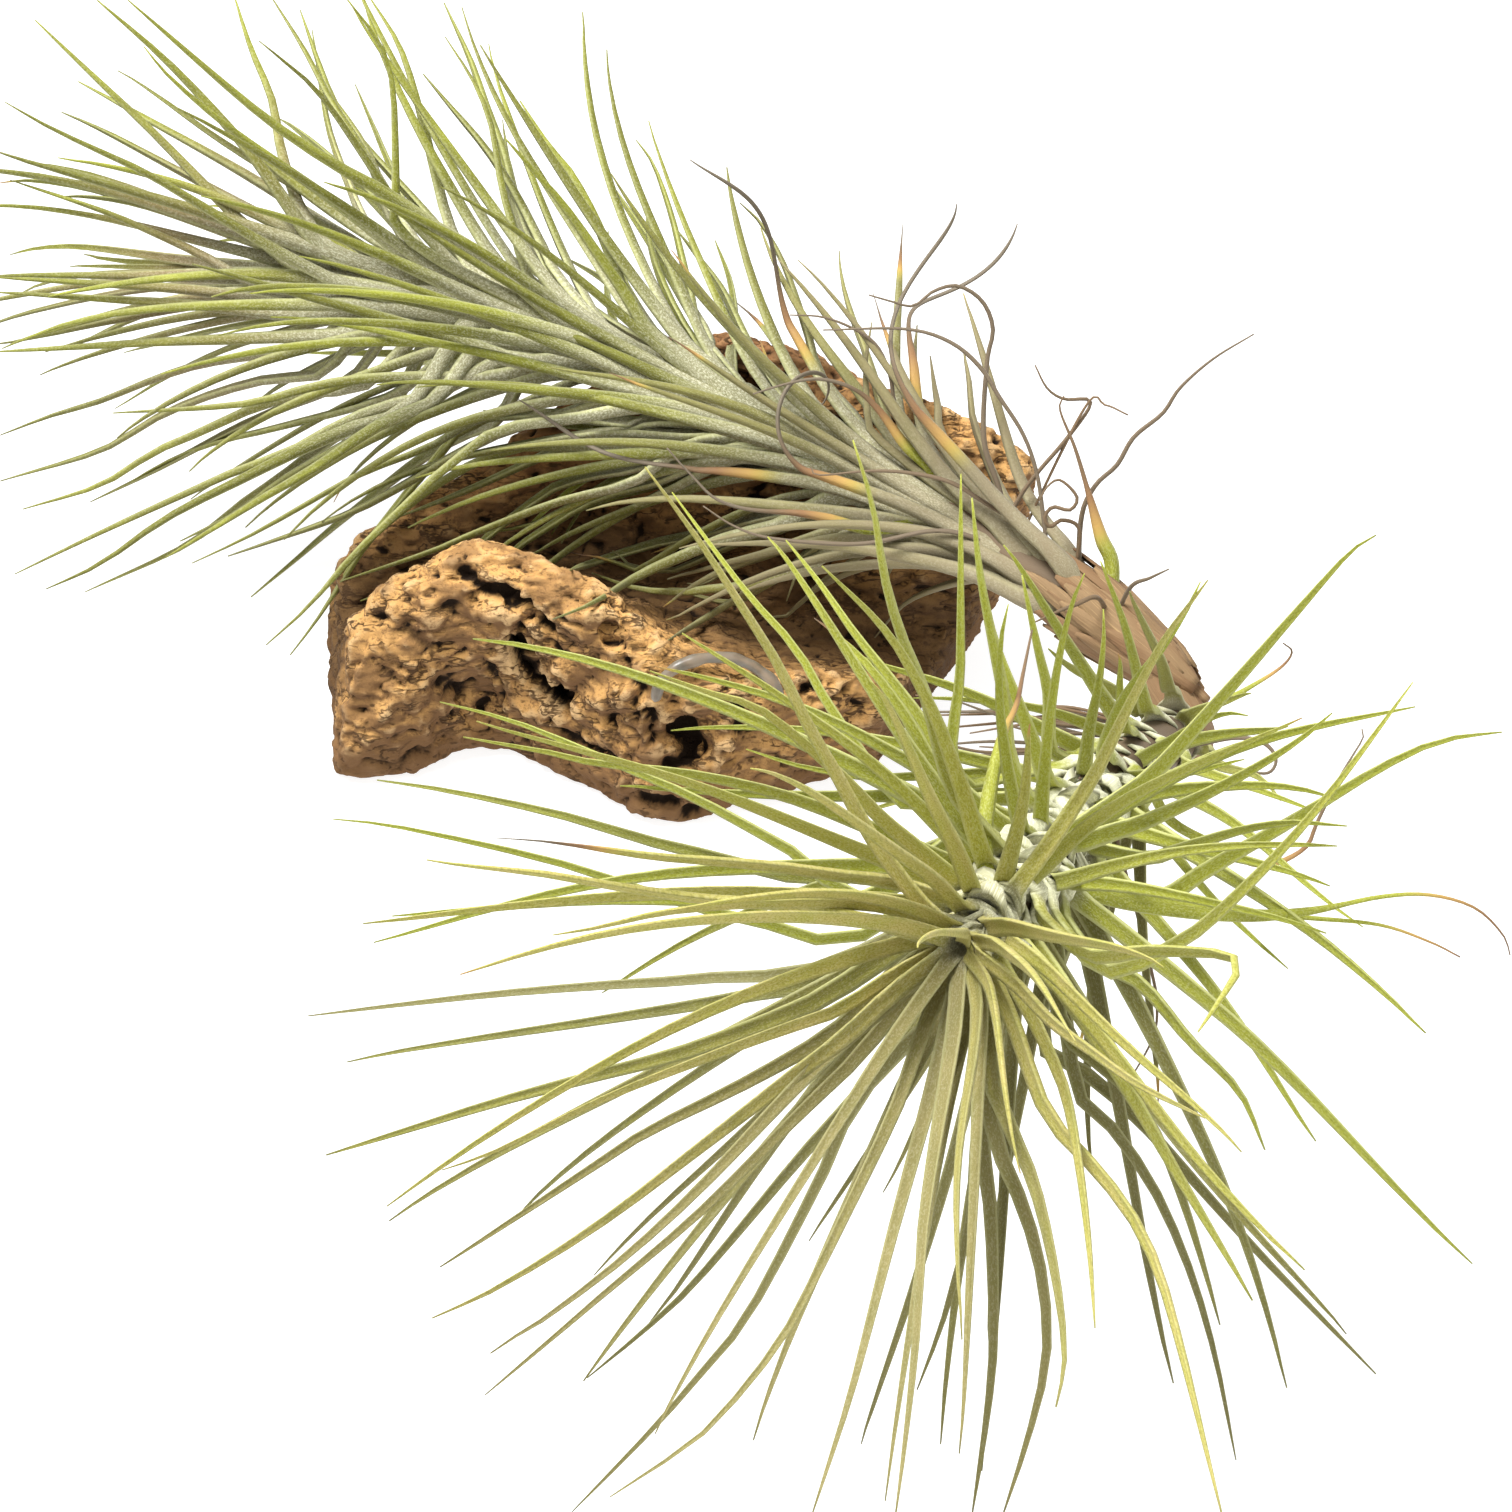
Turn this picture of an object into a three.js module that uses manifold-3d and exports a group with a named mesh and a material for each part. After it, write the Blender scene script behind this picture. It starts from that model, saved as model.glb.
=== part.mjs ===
// Tillandsia funckiana on a piece of driftwood, in millimetres, +Z up, standing on the plane z = 0.
// Two leafy stems of one clump grow from a common dry base. The long one lies in the hollow of the
// driftwood and points back and to the left. The short one rises towards the front. Clear glue holds
// the long stem. The origin is on the flat spot under the driftwood.
import * as THREE from "three";
import { mergeVertices } from "three/addons/utils/BufferGeometryUtils.js";
import Module from "manifold-3d";

const wasm = await Module();
wasm.setup();

const GAP = 0.3;
const GOLDEN_ANGLE = 180 * (3 - Math.sqrt(5));

// Driftwood: a curled piece with a front crest, a hollow and a higher back crest. Each row is a flat
// cut across it: x where the cut passes the back crest, slant and lean, which say how far the cut
// moves along X for each millimetre along Y and Z, y of the front foot, [y, z] of the front crest, of
// the hollow and of the back crest, and y of the back foot.
const WOOD_CUTS = [
  [-36.5, -0.12, 0.2, -15, [-9, 17], [-2, 8], [5, 12], 7],
  [-30.5, -0.1, 0.1, -15, [-8.5, 22], [0, 9.5], [8, 16], 11],
  [-21, 0, 0, -11.5, [-7.5, 27], [2, 11], [11, 20], 15],
  [-11, 0, 0, -16, [-10, 25.5], [3, 12], [15, 26], 19],
  [-1, 0.1, 0, -20.5, [-13.5, 21.5], [1, 11], [16, 33], 20],
  [9, 0.25, 0, -20.5, [-15.5, 17.5], [-2, 10.5], [13, 33.5], 18],
  [18, 0.4, 0.05, -18.5, [-15.5, 15.5], [-4, 10], [9.5, 32], 14],
  [27, 0.52, 0.12, -16.5, [-14, 14.5], [-4, 9.5], [6.5, 30], 11],
  [34.5, 0.62, 0.2, -14, [-11.5, 12.5], [-4, 7.5], [2.5, 27], 7],
];
const CREST_HALF_WIDTH = 2.7;
const CREST_STEEPNESS = 0.42;
const HOLLOW_HALF_WIDTH = 2.5;
const FACE_BULGE = 0.8;
const WOOD_UNDERSIDE = -1.6;
const WOOD_FOOT_LEVEL = 1.1;
const WOOD_STEPS_ALONG = 40;
const WOOD_STEPS_ROUND = 32;
const WOOD_SEED = 31;
// Relief on the driftwood: [grain size along X, grain size across, height].
const WOOD_RELIEF = [
  [14, 7, 1.1],
  [5, 2.6, 0.7],
];

// Deep pockets in the driftwood's front, as [x, y, z] centre, half sizes and turn about Z in degrees.
const WOOD_PITS = [
  { centre: [0.3, -19.4, 11], size: [3.3, 2.8, 2.7], turn: 10 },
  { centre: [-21.3, -12.2, 7.6], size: [2.4, 2.4, 4.6], turn: -8 },
  { centre: [-7, -15.2, 21.4], size: [0.9, 2.6, 1.8], turn: 25 },
];
// Crooked cracks between the left knob and the ridge behind it.
const CRACKS = [
  [
    [-20.4, -10.6, 22.6],
    [-17.8, -10.9, 23.6],
    [-15.9, -12.2, 21.5],
    [-14.1, -13, 20.1],
  ],
  [
    [-16.8, -12.1, 20.1],
    [-16.3, -12.3, 17],
    [-15.4, -12.9, 13.5],
    [-13.4, -13.8, 12.1],
    [-12.2, -14.1, 11],
    [-10.7, -14.7, 12.5],
  ],
];
const CRACK_RADIUS = 0.75;
const CRACK_DEPTH = 3.4;
const CRACK_LIP = 1.6;
const CRACK_INWARD = [0.1, 1, -0.35];

// Stems, from the dry base to the growing tip. Lengths along the stem and the leaf are in
// millimetres, leans are degrees from the stem's own direction.
const LONG_STEM = {
  seed: 11,
  path: [
    [49.5, -29, 27],
    [43.5, -23.5, 28.3],
    [34.5, -14.5, 29.3],
    [21, -2.5, 29],
    [7.4, 7, 29.2],
    [-8.7, 14.3, 32.2],
    [-25, 20, 34.8],
    [-38, 22.8, 35.8],
  ],
  bare: 14,
  tipLeft: 2,
  coreRadius: 3.3,
  leaves: 196,
  crowding: 1.15,
  length: [42, 52],
  oldLength: 0.72,
  youngLength: 0.85,
  sheathLean: 9,
  bladeLean: 34,
  tipLean: 54,
  oldLean: 0.9,
  youngLean: 0.3,
  oldZone: 45,
  youngZone: 30,
  bend: [5, 16],
  droop: 0.3,
  shade: [0, 0],
};
const SHORT_STEM = {
  seed: 23,
  path: [
    [46.2, -33.2, 27],
    [43.5, -39.5, 32],
    [39, -48.5, 39],
    [33.5, -60, 46.5],
    [28.3, -74.5, 56],
    [22.3, -90, 67.5],
  ],
  bare: 0,
  tipLeft: 1,
  coreRadius: 3.2,
  leaves: 140,
  crowding: 1.5,
  length: [46, 56],
  oldLength: 0.55,
  youngLength: 0.95,
  sheathLean: 14,
  bladeLean: 64,
  tipLean: 80,
  oldLean: 0.62,
  youngLean: 0.33,
  oldZone: 46,
  youngZone: 22,
  bend: [2.6, 7.5],
  droop: 0.45,
  shade: [0.15, 0.55],
};
// Every second leaf of the rule stands here.
const LEAF_STRIDE = 2;

// Leaf blade: [place along the leaf from 0 to 1, width, thickness].
const BLADE_PROFILE = [
  [0, 2.8, 1.5],
  [0.09, 2.5, 1.3],
  [0.2, 1.75, 1.1],
  [0.4, 1.4, 0.95],
  [0.68, 1.05, 0.8],
  [1, 0.62, 0.6],
];
const LEAF_STEP = 1.5;
const ROOT_DEPTH = 1.2;
const LOOK_AHEAD = 3;
// How strongly a leaf turns away from what is nearer than LOOK_AHEAD.
const AVOID_STRENGTH = 0.9;
// Chance in a leaf's growth: degrees of turn round the stem and of sideways sweep, and share of lean.
const TURN_SPREAD = 30;
const SWEEP_SPREAD = 26;
const LEAN_SPREAD = [0.8, 1.2];
// Leaves that face this way stay shorter, by a share drawn from the stem's shade. The reach says how
// squarely a leaf has to face it.
const SHADE_WAY = [0.64, 0.57, 0.51];
const SHADE_REACH = [-0.6, 0.7];
// A leaf's root and the stem are thinner near the stem's tip: [share at the tip, from, to] in mm.
const ROOT_TAPER = [0.45, 0, 9];
const CORE_TAPER = [0.3, -2, 10];
// A leaf is left out if it is this much short of room past its first steps.
const FREE_STEPS = 3;
const LEAST_ROOM = -0.2;
const ROOM_TRIES = 4;
const ROOM_EXTRA = 0.05;

// Dry, curled ends on some of the long stem's old leaves.
const CURL = {
  everyLeaf: 6,
  zone: 44,
  from: 0.62,
  length: 20,
  turns: 1.2,
  rise: 0.25,
  thickness: 0.62,
  steps: 9,
};

// Dry base: the long stem's own cone and a side shoot that carries the short stem. The cone's rows
// are [length along the stem, radius].
const BASE_CONE = [
  [0, 0.55],
  [1.6, 1.2],
  [5, 2.4],
  [9, 3],
  [14 - GAP, 3.5],
];
const SHOOT_FROM = 8;
const SHOOT_RADII = [2.3, 2.7, 3];
const SHOOT_STUB = 3.4;

// Clear glue: a pad between the long stem and the back crest, and a bead over the front crest.
const PAD_CENTRE = [3, 10.8, 26.6];
const PAD_SIZE = [6.5, 2.8, 3.2];
const BEAD_PATH = [
  [-3, -18.8, 15.9],
  [-2.3, -18, 18],
  [-0.4, -17, 19.2],
  [2.9, -15.8, 19.1],
  [6, -15.6, 18.1],
  [8.3, -16.6, 16.9],
  [9.6, -17.7, 15.4],
];
const BEAD_RADIUS = 0.6;
const BEAD_STEPS = 14;
const BEAD_SIDES = 8;
// The seat that the driftwood leaves round the long stem and the pad.
const SEAT_ROOM = 1.3;
// Room that leaves keep from the driftwood on top of the gap, for its slopes along X.
const SLOPE_ROOM = 0.3;

// How far the halfway surface between the stems lies towards the long one, and the dry base's girth.
const HALFWAY_SHIFT = 3;
const BASE_GIRTH = 3.6;

const SHORTEST_EDGE = 0.01;
const STEM_SIDES = 9;
const CORE_STEPS = 16;
const AXIS_DIVISIONS = 400;
const AXIS_STEPS = 40;
const GROUND_SIZE = [200, 200, 100];

const toVector = ([x, y, z]) => new THREE.Vector3(x, y, z);
const degrees = THREE.MathUtils.degToRad;
const mix = THREE.MathUtils.lerp;
const smooth = THREE.MathUtils.smoothstep;

// A number from 0 to 1 that depends only on the three whole numbers given. The large odd numbers
// only stir their bits.
function draw(seed, item, channel) {
  let h = (Math.imul(seed, 374761393) + Math.imul(item, 668265263) + Math.imul(channel, 1103515245)) | 0;
  h = Math.imul(h ^ (h >>> 13), 1274126177);
  h = Math.imul(h ^ (h >>> 15), 461845907);
  return ((h ^ (h >>> 16)) >>> 0) / 4294967296;
}

// Smooth noise from -1 to 1 on a lattice of unit cells.
function noise(x, y, z, seed) {
  const rowStride = 7919;
  const [ix, iy, iz] = [x, y, z].map(Math.floor);
  const [fx, fy, fz] = [x - ix, y - iy, z - iz].map((f) => f * f * (3 - 2 * f));
  const corner = (a, b, c) => draw(seed + (ix + a) * rowStride, iy + b, iz + c);
  const edge = (b, c) => mix(corner(0, b, c), corner(1, b, c), fx);
  return 2 * mix(mix(edge(0, 0), edge(1, 0), fy), mix(edge(0, 1), edge(1, 1), fy), fz) - 1;
}

function toSolid(geometry) {
  const bare = geometry.clone();
  for (const name of Object.keys(bare.attributes)) {
    if (name !== "position") bare.deleteAttribute(name);
  }
  const merged = mergeVertices(bare, 1e-4);
  return new wasm.Manifold(
    new wasm.Mesh({
      numProp: 3,
      vertProperties: Float32Array.from(merged.attributes.position.array),
      triVerts: Uint32Array.from(merged.index.array),
    })
  );
}

// Groups that whole numbers fall into as pairs of them are joined.
function grouping(count) {
  const parent = Array.from({ length: count }, (_, i) => i);
  const root = (i) => {
    while (parent[i] !== i) i = parent[i] = parent[parent[i]];
    return i;
  };
  const join = (i, j) => {
    parent[root(i)] = root(j);
  };
  return { root, join };
}

// The outer skin of the largest body in a solid. Sealed hollows are filled, scraps are dropped, and
// edges shorter than SHORTEST_EDGE are closed up.
function toGeometry(solid) {
  const { vertProperties, triVerts } = solid.getMesh();
  const corner = (i) => new THREE.Vector3().fromArray(vertProperties, 3 * i);
  const faces = Array.from({ length: triVerts.length / 3 }, (_, t) => [...triVerts.slice(3 * t, 3 * t + 3)]);
  const bodies = grouping(vertProperties.length / 3);
  const welds = grouping(vertProperties.length / 3);
  for (const [a, b, c] of faces) {
    bodies.join(a, b);
    bodies.join(b, c);
    for (const [i, j] of [[a, b], [b, c], [c, a]]) {
      if (corner(i).distanceTo(corner(j)) < SHORTEST_EDGE) welds.join(i, j);
    }
  }
  const volumes = new Map();
  for (const [a, b, c] of faces) {
    const volume = corner(a).dot(corner(b).cross(corner(c))) / 6;
    volumes.set(bodies.root(a), (volumes.get(bodies.root(a)) ?? 0) + volume);
  }
  const largest = [...volumes].sort(([, p], [, q]) => q - p)[0][0];
  const kept = new Map();
  for (const face of faces.filter(([a]) => bodies.root(a) === largest)) {
    const welded = face.map(welds.root);
    if (new Set(welded).size < 3) continue;
    const key = [...welded].sort((i, j) => i - j).join();
    if (kept.has(key)) kept.delete(key);
    else kept.set(key, welded);
  }
  const geometry = new THREE.BufferGeometry();
  const positions = [...kept.values()].flat().flatMap((i) => corner(i).toArray());
  geometry.setAttribute("position", new THREE.Float32BufferAttribute(positions, 3));
  return mergeVertices(geometry, 1e-5);
}

// A closed skin over rings of points. Each ring has the same number of points, in the same order.
function skinRings(rings) {
  const sides = rings[0].length;
  const positions = rings.flat().flatMap((p) => [p.x, p.y, p.z]);
  const index = [];
  for (let r = 0; r + 1 < rings.length; r++) {
    for (let k = 0; k < sides; k++) {
      const a = r * sides + k;
      const b = r * sides + ((k + 1) % sides);
      index.push(a, b, b + sides, a, b + sides, a + sides);
    }
  }
  const last = (rings.length - 1) * sides;
  for (const [a, b, c] of capTriangles(rings[0])) index.push(c, b, a);
  for (const [a, b, c] of capTriangles(rings.at(-1))) index.push(last + a, last + b, last + c);
  const geometry = new THREE.BufferGeometry();
  geometry.setAttribute("position", new THREE.Float32BufferAttribute(positions, 3));
  geometry.setIndex(index);
  return geometry;
}

// Triangles that close a flat ring, turning the same way as the ring.
function capTriangles(ring) {
  const middle = ring.reduce((sum, p) => sum.add(p), new THREE.Vector3()).divideScalar(ring.length);
  const normal = new THREE.Vector3();
  ring.forEach((p, k) => {
    const q = ring[(k + 1) % ring.length];
    normal.add(p.clone().sub(middle).cross(q.clone().sub(middle)));
  });
  normal.normalize();
  const across = ring[0].clone().sub(ring[1]).projectOnPlane(normal).normalize();
  const up = normal.clone().cross(across);
  const flat = ring.map((p) => new THREE.Vector2(p.dot(across), p.dot(up)));
  return THREE.ShapeUtils.triangulateShape(flat, []);
}

// Turns a skin's faces outwards.
function facingOut(geometry) {
  const p = geometry.attributes.position;
  const order = geometry.index.array;
  const corner = (i) => new THREE.Vector3().fromBufferAttribute(p, order[i]);
  let volume = 0;
  for (let t = 0; t < order.length; t += 3) {
    volume += corner(t).dot(corner(t + 1).cross(corner(t + 2)));
  }
  if (volume < 0) {
    for (let t = 0; t < order.length; t += 3) [order[t], order[t + 1]] = [order[t + 1], order[t]];
  }
  return geometry;
}

function ringSolid(rings) {
  return toSolid(facingOut(skinRings(rings)));
}

// A round tube along points with a radius at each point.
function tube(points, radii, sides) {
  const curveDirection = (k) =>
    points[Math.min(k + 1, points.length - 1)].clone().sub(points[Math.max(k - 1, 0)]).normalize();
  let across = new THREE.Vector3(0, 0, 1);
  const rings = points.map((p, k) => {
    const direction = curveDirection(k);
    across = across.clone().projectOnPlane(direction).normalize();
    const up = direction.clone().cross(across);
    return Array.from({ length: sides }, (_, n) => {
      const angle = (2 * Math.PI * n) / sides;
      return p
        .clone()
        .addScaledVector(across, radii[k] * Math.cos(angle))
        .addScaledVector(up, radii[k] * Math.sin(angle));
    });
  });
  return ringSolid(rings);
}

// The cuts as rows of numbers, and a smooth curve through them from place 0 to 1 along the driftwood.
const cutRows = WOOD_CUTS.map((row) => row.flat());
const cutPlaces = cutRows.map((_, k) => k / (cutRows.length - 1));
const cutSpline = new THREE.CubicInterpolant(cutPlaces, cutRows.flat(), cutRows[0].length);

function cutAt(place) {
  const [x, slant, lean, footFront, fy, fz, hy, hz, by, bz, footBack] = cutSpline.evaluate(place);
  return { x, slant, lean, footFront, front: [fy, fz], hollow: [hy, hz], back: [by, bz], footBack };
}

const planeX = ({ x, slant, lean, back }, y, z) => x + slant * (y - back[0]) + lean * (z - back[1]);

// The closed outline of a cut, as [y, z] points. The fractions place a face's middle between its ends.
function cutOutline({ footFront, front, hollow, back, footBack }) {
  const crest = ([, top]) => Math.min(CREST_HALF_WIDTH, CREST_STEEPNESS * (top - hollow[1]));
  const [f, b, h] = [crest(front), crest(back), HOLLOW_HALF_WIDTH];
  return [
    [footFront, WOOD_FOOT_LEVEL],
    [mix(footFront, front[0] - f, 0.55) - FACE_BULGE, front[1] * 0.5],
    [front[0] - f, front[1] - f],
    [front[0], front[1]],
    [front[0] + f, front[1] - f],
    [hollow[0] - h, hollow[1] + 0.6],
    [hollow[0] + h, hollow[1]],
    [mix(hollow[0] + h, back[0] - b, 0.7), mix(hollow[1], back[1], 0.45)],
    [back[0] - b, back[1] - b],
    [back[0], back[1]],
    [back[0] + b, back[1] - b],
    [mix(footBack, back[0] + b, 0.45) + FACE_BULGE, back[1] * 0.45],
    [footBack, WOOD_FOOT_LEVEL],
    [mix(footBack, footFront, 0.25), WOOD_UNDERSIDE],
    [mix(footBack, footFront, 0.75), WOOD_UNDERSIDE],
  ];
}

function woodRelief(p) {
  const heights = WOOD_RELIEF.map(
    ([along, across, height], k) => height * noise(p.x / along, p.y / across, p.z / across, WOOD_SEED + k)
  );
  return heights.reduce((sum, height) => sum + height, 0);
}

// One ring of the driftwood: the outline of a cut, smoothed and with the relief on it.
function woodRing(place) {
  const cut = cutAt(place);
  const outline = cutOutline(cut).map(([y, z]) => new THREE.Vector3(planeX(cut, y, z), y, z));
  const curve = new THREE.CatmullRomCurve3(outline, true, "catmullrom", 0.5);
  const smoothRing = curve.getPoints(WOOD_STEPS_ROUND).slice(0, WOOD_STEPS_ROUND);
  const points = smoothRing.map((p, k) => {
    const before = smoothRing.at(k - 1);
    const after = smoothRing[(k + 1) % WOOD_STEPS_ROUND];
    const [dy, dz] = [after.y - before.y, after.z - before.z];
    const height = woodRelief(p) / Math.hypot(dy, dz);
    const [y, z] = [p.y - dz * height, p.z + dy * height];
    return new THREE.Vector3(planeX(cut, y, z), y, z);
  });
  return { cut, points };
}

const woodPlaces = Array.from({ length: WOOD_STEPS_ALONG + 1 }, (_, j) => j / WOOD_STEPS_ALONG);
const woodRings = woodPlaces.map(woodRing);

// Signed distance in the (y, z) plane from a point to a closed ring, negative inside.
function ringDistance(ring, y, z) {
  let nearest = Infinity;
  let inside = false;
  for (let k = 0; k < ring.length; k++) {
    const [ay, az] = ring[k];
    const [by, bz] = ring[(k + 1) % ring.length];
    const [ey, ez] = [by - ay, bz - az];
    const t = THREE.MathUtils.clamp(((y - ay) * ey + (z - az) * ez) / (ey * ey + ez * ez), 0, 1);
    nearest = Math.min(nearest, Math.hypot(y - ay - t * ey, z - az - t * ez));
    if (az > z !== bz > z && y < ay + ((z - az) / (bz - az)) * ey) inside = !inside;
  }
  return inside ? -nearest : nearest;
}

// Distance from a point to the driftwood, negative inside.
function woodDistance(p) {
  const ahead = (ring) => planeX(ring.cut, p.y, p.z) - p.x;
  const last = woodRings.length - 1;
  let j = 0;
  while (j < last - 1 && ahead(woodRings[j + 1]) < 0) j++;
  const [from, to] = [ahead(woodRings[j]), ahead(woodRings[j + 1])];
  const t = THREE.MathUtils.clamp(from / (from - to), 0, 1);
  const ring = woodRings[j].points.map((a, k) => {
    const b = woodRings[j + 1].points[k];
    return [mix(a.y, b.y, t), mix(a.z, b.z, t)];
  });
  const across = ringDistance(ring, p.y, p.z);
  const beyond = Math.max(ahead(woodRings[0]), -ahead(woodRings[last]));
  return beyond > 0 ? Math.hypot(Math.max(across, 0), beyond) : Math.max(across, beyond);
}

function lineDistance(points, p) {
  let nearest = Infinity;
  const near = new THREE.Vector3();
  for (let k = 0; k + 1 < points.length; k++) {
    new THREE.Line3(points[k], points[k + 1]).closestPointToPoint(p, true, near);
    nearest = Math.min(nearest, near.distanceTo(p));
  }
  return nearest;
}

// A stem's axis at even steps, with its length.
function stemAxis(stem) {
  const curve = new THREE.CatmullRomCurve3(stem.path.map(toVector), false, "catmullrom", 0.5);
  curve.arcLengthDivisions = AXIS_DIVISIONS;
  const length = curve.getLength();
  return {
    length,
    points: curve.getSpacedPoints(AXIS_STEPS),
    at: (distance) => curve.getPointAt(THREE.MathUtils.clamp(distance / length, 0, 1)),
    along: (distance) => curve.getTangentAt(THREE.MathUtils.clamp(distance / length, 0, 1)),
  };
}

const longAxis = stemAxis(LONG_STEM);
const shortAxis = stemAxis(SHORT_STEM);
const beadPoints = BEAD_PATH.map(toVector);
const conePoints = BASE_CONE.map(([place]) => longAxis.at(place));
const shootPoints = [
  longAxis.at(SHOOT_FROM),
  shortAxis.at(0).addScaledVector(shortAxis.along(0), -SHOOT_STUB),
  shortAxis.at(0).addScaledVector(shortAxis.along(0), -GAP),
];

function padDistance(p) {
  const inPad = p.clone().sub(toVector(PAD_CENTRE)).divide(toVector(PAD_SIZE));
  return (inPad.length() - 1) * Math.min(...PAD_SIZE);
}

// Room left at a point for a leaf of the given half width: negative where it would come too close to
// the ground, the driftwood, the glue, the dry base or the other stem's side.
function room(p, halfWidth, isLong) {
  const side = lineDistance(longAxis.points, p) - lineDistance(shortAxis.points, p) + HALFWAY_SHIFT;
  const base = Math.min(lineDistance(conePoints, p), lineDistance(shootPoints, p)) - BASE_GIRTH;
  const nearest = Math.min(
    p.z,
    woodDistance(p) - SLOPE_ROOM,
    padDistance(p),
    lineDistance(beadPoints, p) - BEAD_RADIUS,
    base,
    (isLong ? -side : side) / 2
  );
  return nearest - halfWidth - GAP;
}

// Direction in which the room grows fastest.
function roomWay(p, halfWidth, isLong) {
  const step = 0.2;
  const way = new THREE.Vector3();
  for (const axis of ["x", "y", "z"]) {
    const ahead = p.clone();
    const behind = p.clone();
    ahead[axis] += step;
    behind[axis] -= step;
    way[axis] = room(ahead, halfWidth, isLong) - room(behind, halfWidth, isLong);
  }
  return way.normalize();
}

function profileAt(place) {
  const k = Math.max(1, BLADE_PROFILE.findIndex(([end]) => end >= place));
  const [a, b] = [BLADE_PROFILE[k - 1], BLADE_PROFILE[k]];
  const t = (place - a[0]) / (b[0] - a[0]);
  return [mix(a[1], b[1], t), mix(a[2], b[2], t)];
}

// A value for a leaf at a place on its stem: old near the base, full in the middle, young at the tip.
function byAge(stem, axis, place, old, young) {
  const fromBase = smooth(place - stem.bare, 0, stem.oldZone);
  const fromTip = smooth(axis.length - place, 0, stem.youngZone);
  return mix(old, 1, fromBase) * mix(young, 1, fromTip);
}

function taper(axis, place, [share, from, to]) {
  return mix(share, 1, smooth(axis.length - place, from, to));
}

// The line that a leaf follows. It starts under the stem's skin, hugs the stem as a sheath, leans
// out, droops a little and bends clear of whatever is in its way.
function leafLine(stem, axis, leaf) {
  const isLong = stem === LONG_STEM;
  const chance = (channel) => draw(stem.seed, leaf, channel);
  const rank = 1 - (1 - (leaf + 0.5) / stem.leaves) ** stem.crowding;
  const place = mix(stem.bare + 1, axis.length - stem.tipLeft, rank);
  const forward = axis.along(place);
  const up = new THREE.Vector3(0, 0, 1).projectOnPlane(forward).normalize();
  const turn = degrees(GOLDEN_ANGLE * leaf + TURN_SPREAD * (chance(0) - 0.5));
  const outward = up.clone().applyAxisAngle(forward, turn);
  const sideways = forward.clone().cross(outward);
  const ageLength = byAge(stem, axis, place, stem.oldLength, stem.youngLength);
  const shade = smooth(outward.dot(toVector(SHADE_WAY)), ...SHADE_REACH) * mix(...stem.shade, chance(4));
  const length = mix(...stem.length, chance(1)) * ageLength * (1 - shade);
  const ageLean = byAge(stem, axis, place, stem.oldLean, stem.youngLean);
  const spread = mix(...LEAN_SPREAD, chance(2)) * ageLean;
  const [blade, tip] = [stem.bladeLean * spread, stem.tipLean * spread];
  const sweep = degrees(SWEEP_SPREAD * (chance(3) - 0.5));

  const skin = stem.coreRadius * taper(axis, place, ROOT_TAPER);
  const p = axis.at(place).addScaledVector(outward, skin - ROOT_DEPTH);
  const points = [p.clone()];
  const steps = Math.round(length / LEAF_STEP);
  for (let n = 1; n <= steps; n++) {
    const s = n * LEAF_STEP;
    const lean = degrees(
      mix(stem.sheathLean, blade, smooth(s, ...stem.bend)) + (tip - blade) * (s / length) ** 2
    );
    const swing = sweep * smooth(s, stem.bend[0], length);
    const way = forward
      .clone()
      .multiplyScalar(Math.cos(lean))
      .addScaledVector(outward, Math.sin(lean) * Math.cos(swing))
      .addScaledVector(sideways, Math.sin(lean) * Math.sin(swing));
    way.z -= stem.droop * (s / length) ** 2;
    const halfWidth = profileAt(n / steps)[0] / 2;
    const free = room(p, halfWidth, isLong);
    if (free < LOOK_AHEAD) {
      const strength = AVOID_STRENGTH * (1 - Math.max(free, 0) / LOOK_AHEAD);
      way.addScaledVector(roomWay(p, halfWidth, isLong), strength);
    }
    p.addScaledVector(way.normalize(), LEAF_STEP);
    makeRoom(p, halfWidth, isLong);
    if (n > FREE_STEPS && room(p, halfWidth, isLong) < LEAST_ROOM) return null;
    points.push(p.clone());
  }
  const curls = isLong && leaf % CURL.everyLeaf === 0 && place < stem.bare + CURL.zone && outward.z > 0;
  if (!curls) return { points, outward, curl: [] };
  const cut = points.slice(0, Math.round(points.length * CURL.from));
  return { points: cut, outward, curl: curlLine(cut, leaf) };
}

// Moves a point out of whatever it is too close to.
function makeRoom(p, halfWidth, isLong) {
  for (let k = 0; k < ROOM_TRIES; k++) {
    const left = room(p, halfWidth, isLong);
    if (left >= 0) return;
    p.addScaledVector(roomWay(p, halfWidth, isLong), ROOM_EXTRA - left);
  }
}

// A wiry curl that carries on from a leaf's tip and rises as it turns.
function curlLine(points, leaf) {
  const chance = (channel) => draw(LONG_STEM.seed + 1, leaf, channel);
  const p = points.at(-1).clone();
  const way = p.clone().sub(points.at(-2)).normalize();
  const spin = new THREE.Vector3(chance(0) - 0.5, chance(1) - 0.5, chance(2) - 0.5).normalize();
  const turn = ((chance(3) < 0.5 ? -1 : 1) * 2 * Math.PI * CURL.turns) / CURL.steps;
  return Array.from({ length: CURL.steps }, () => {
    way.applyAxisAngle(spin, turn);
    const step = way.clone();
    step.z += CURL.rise;
    p.addScaledVector(step, CURL.length / CURL.steps);
    makeRoom(p, CURL.thickness, true);
    return p.clone();
  });
}

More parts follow.
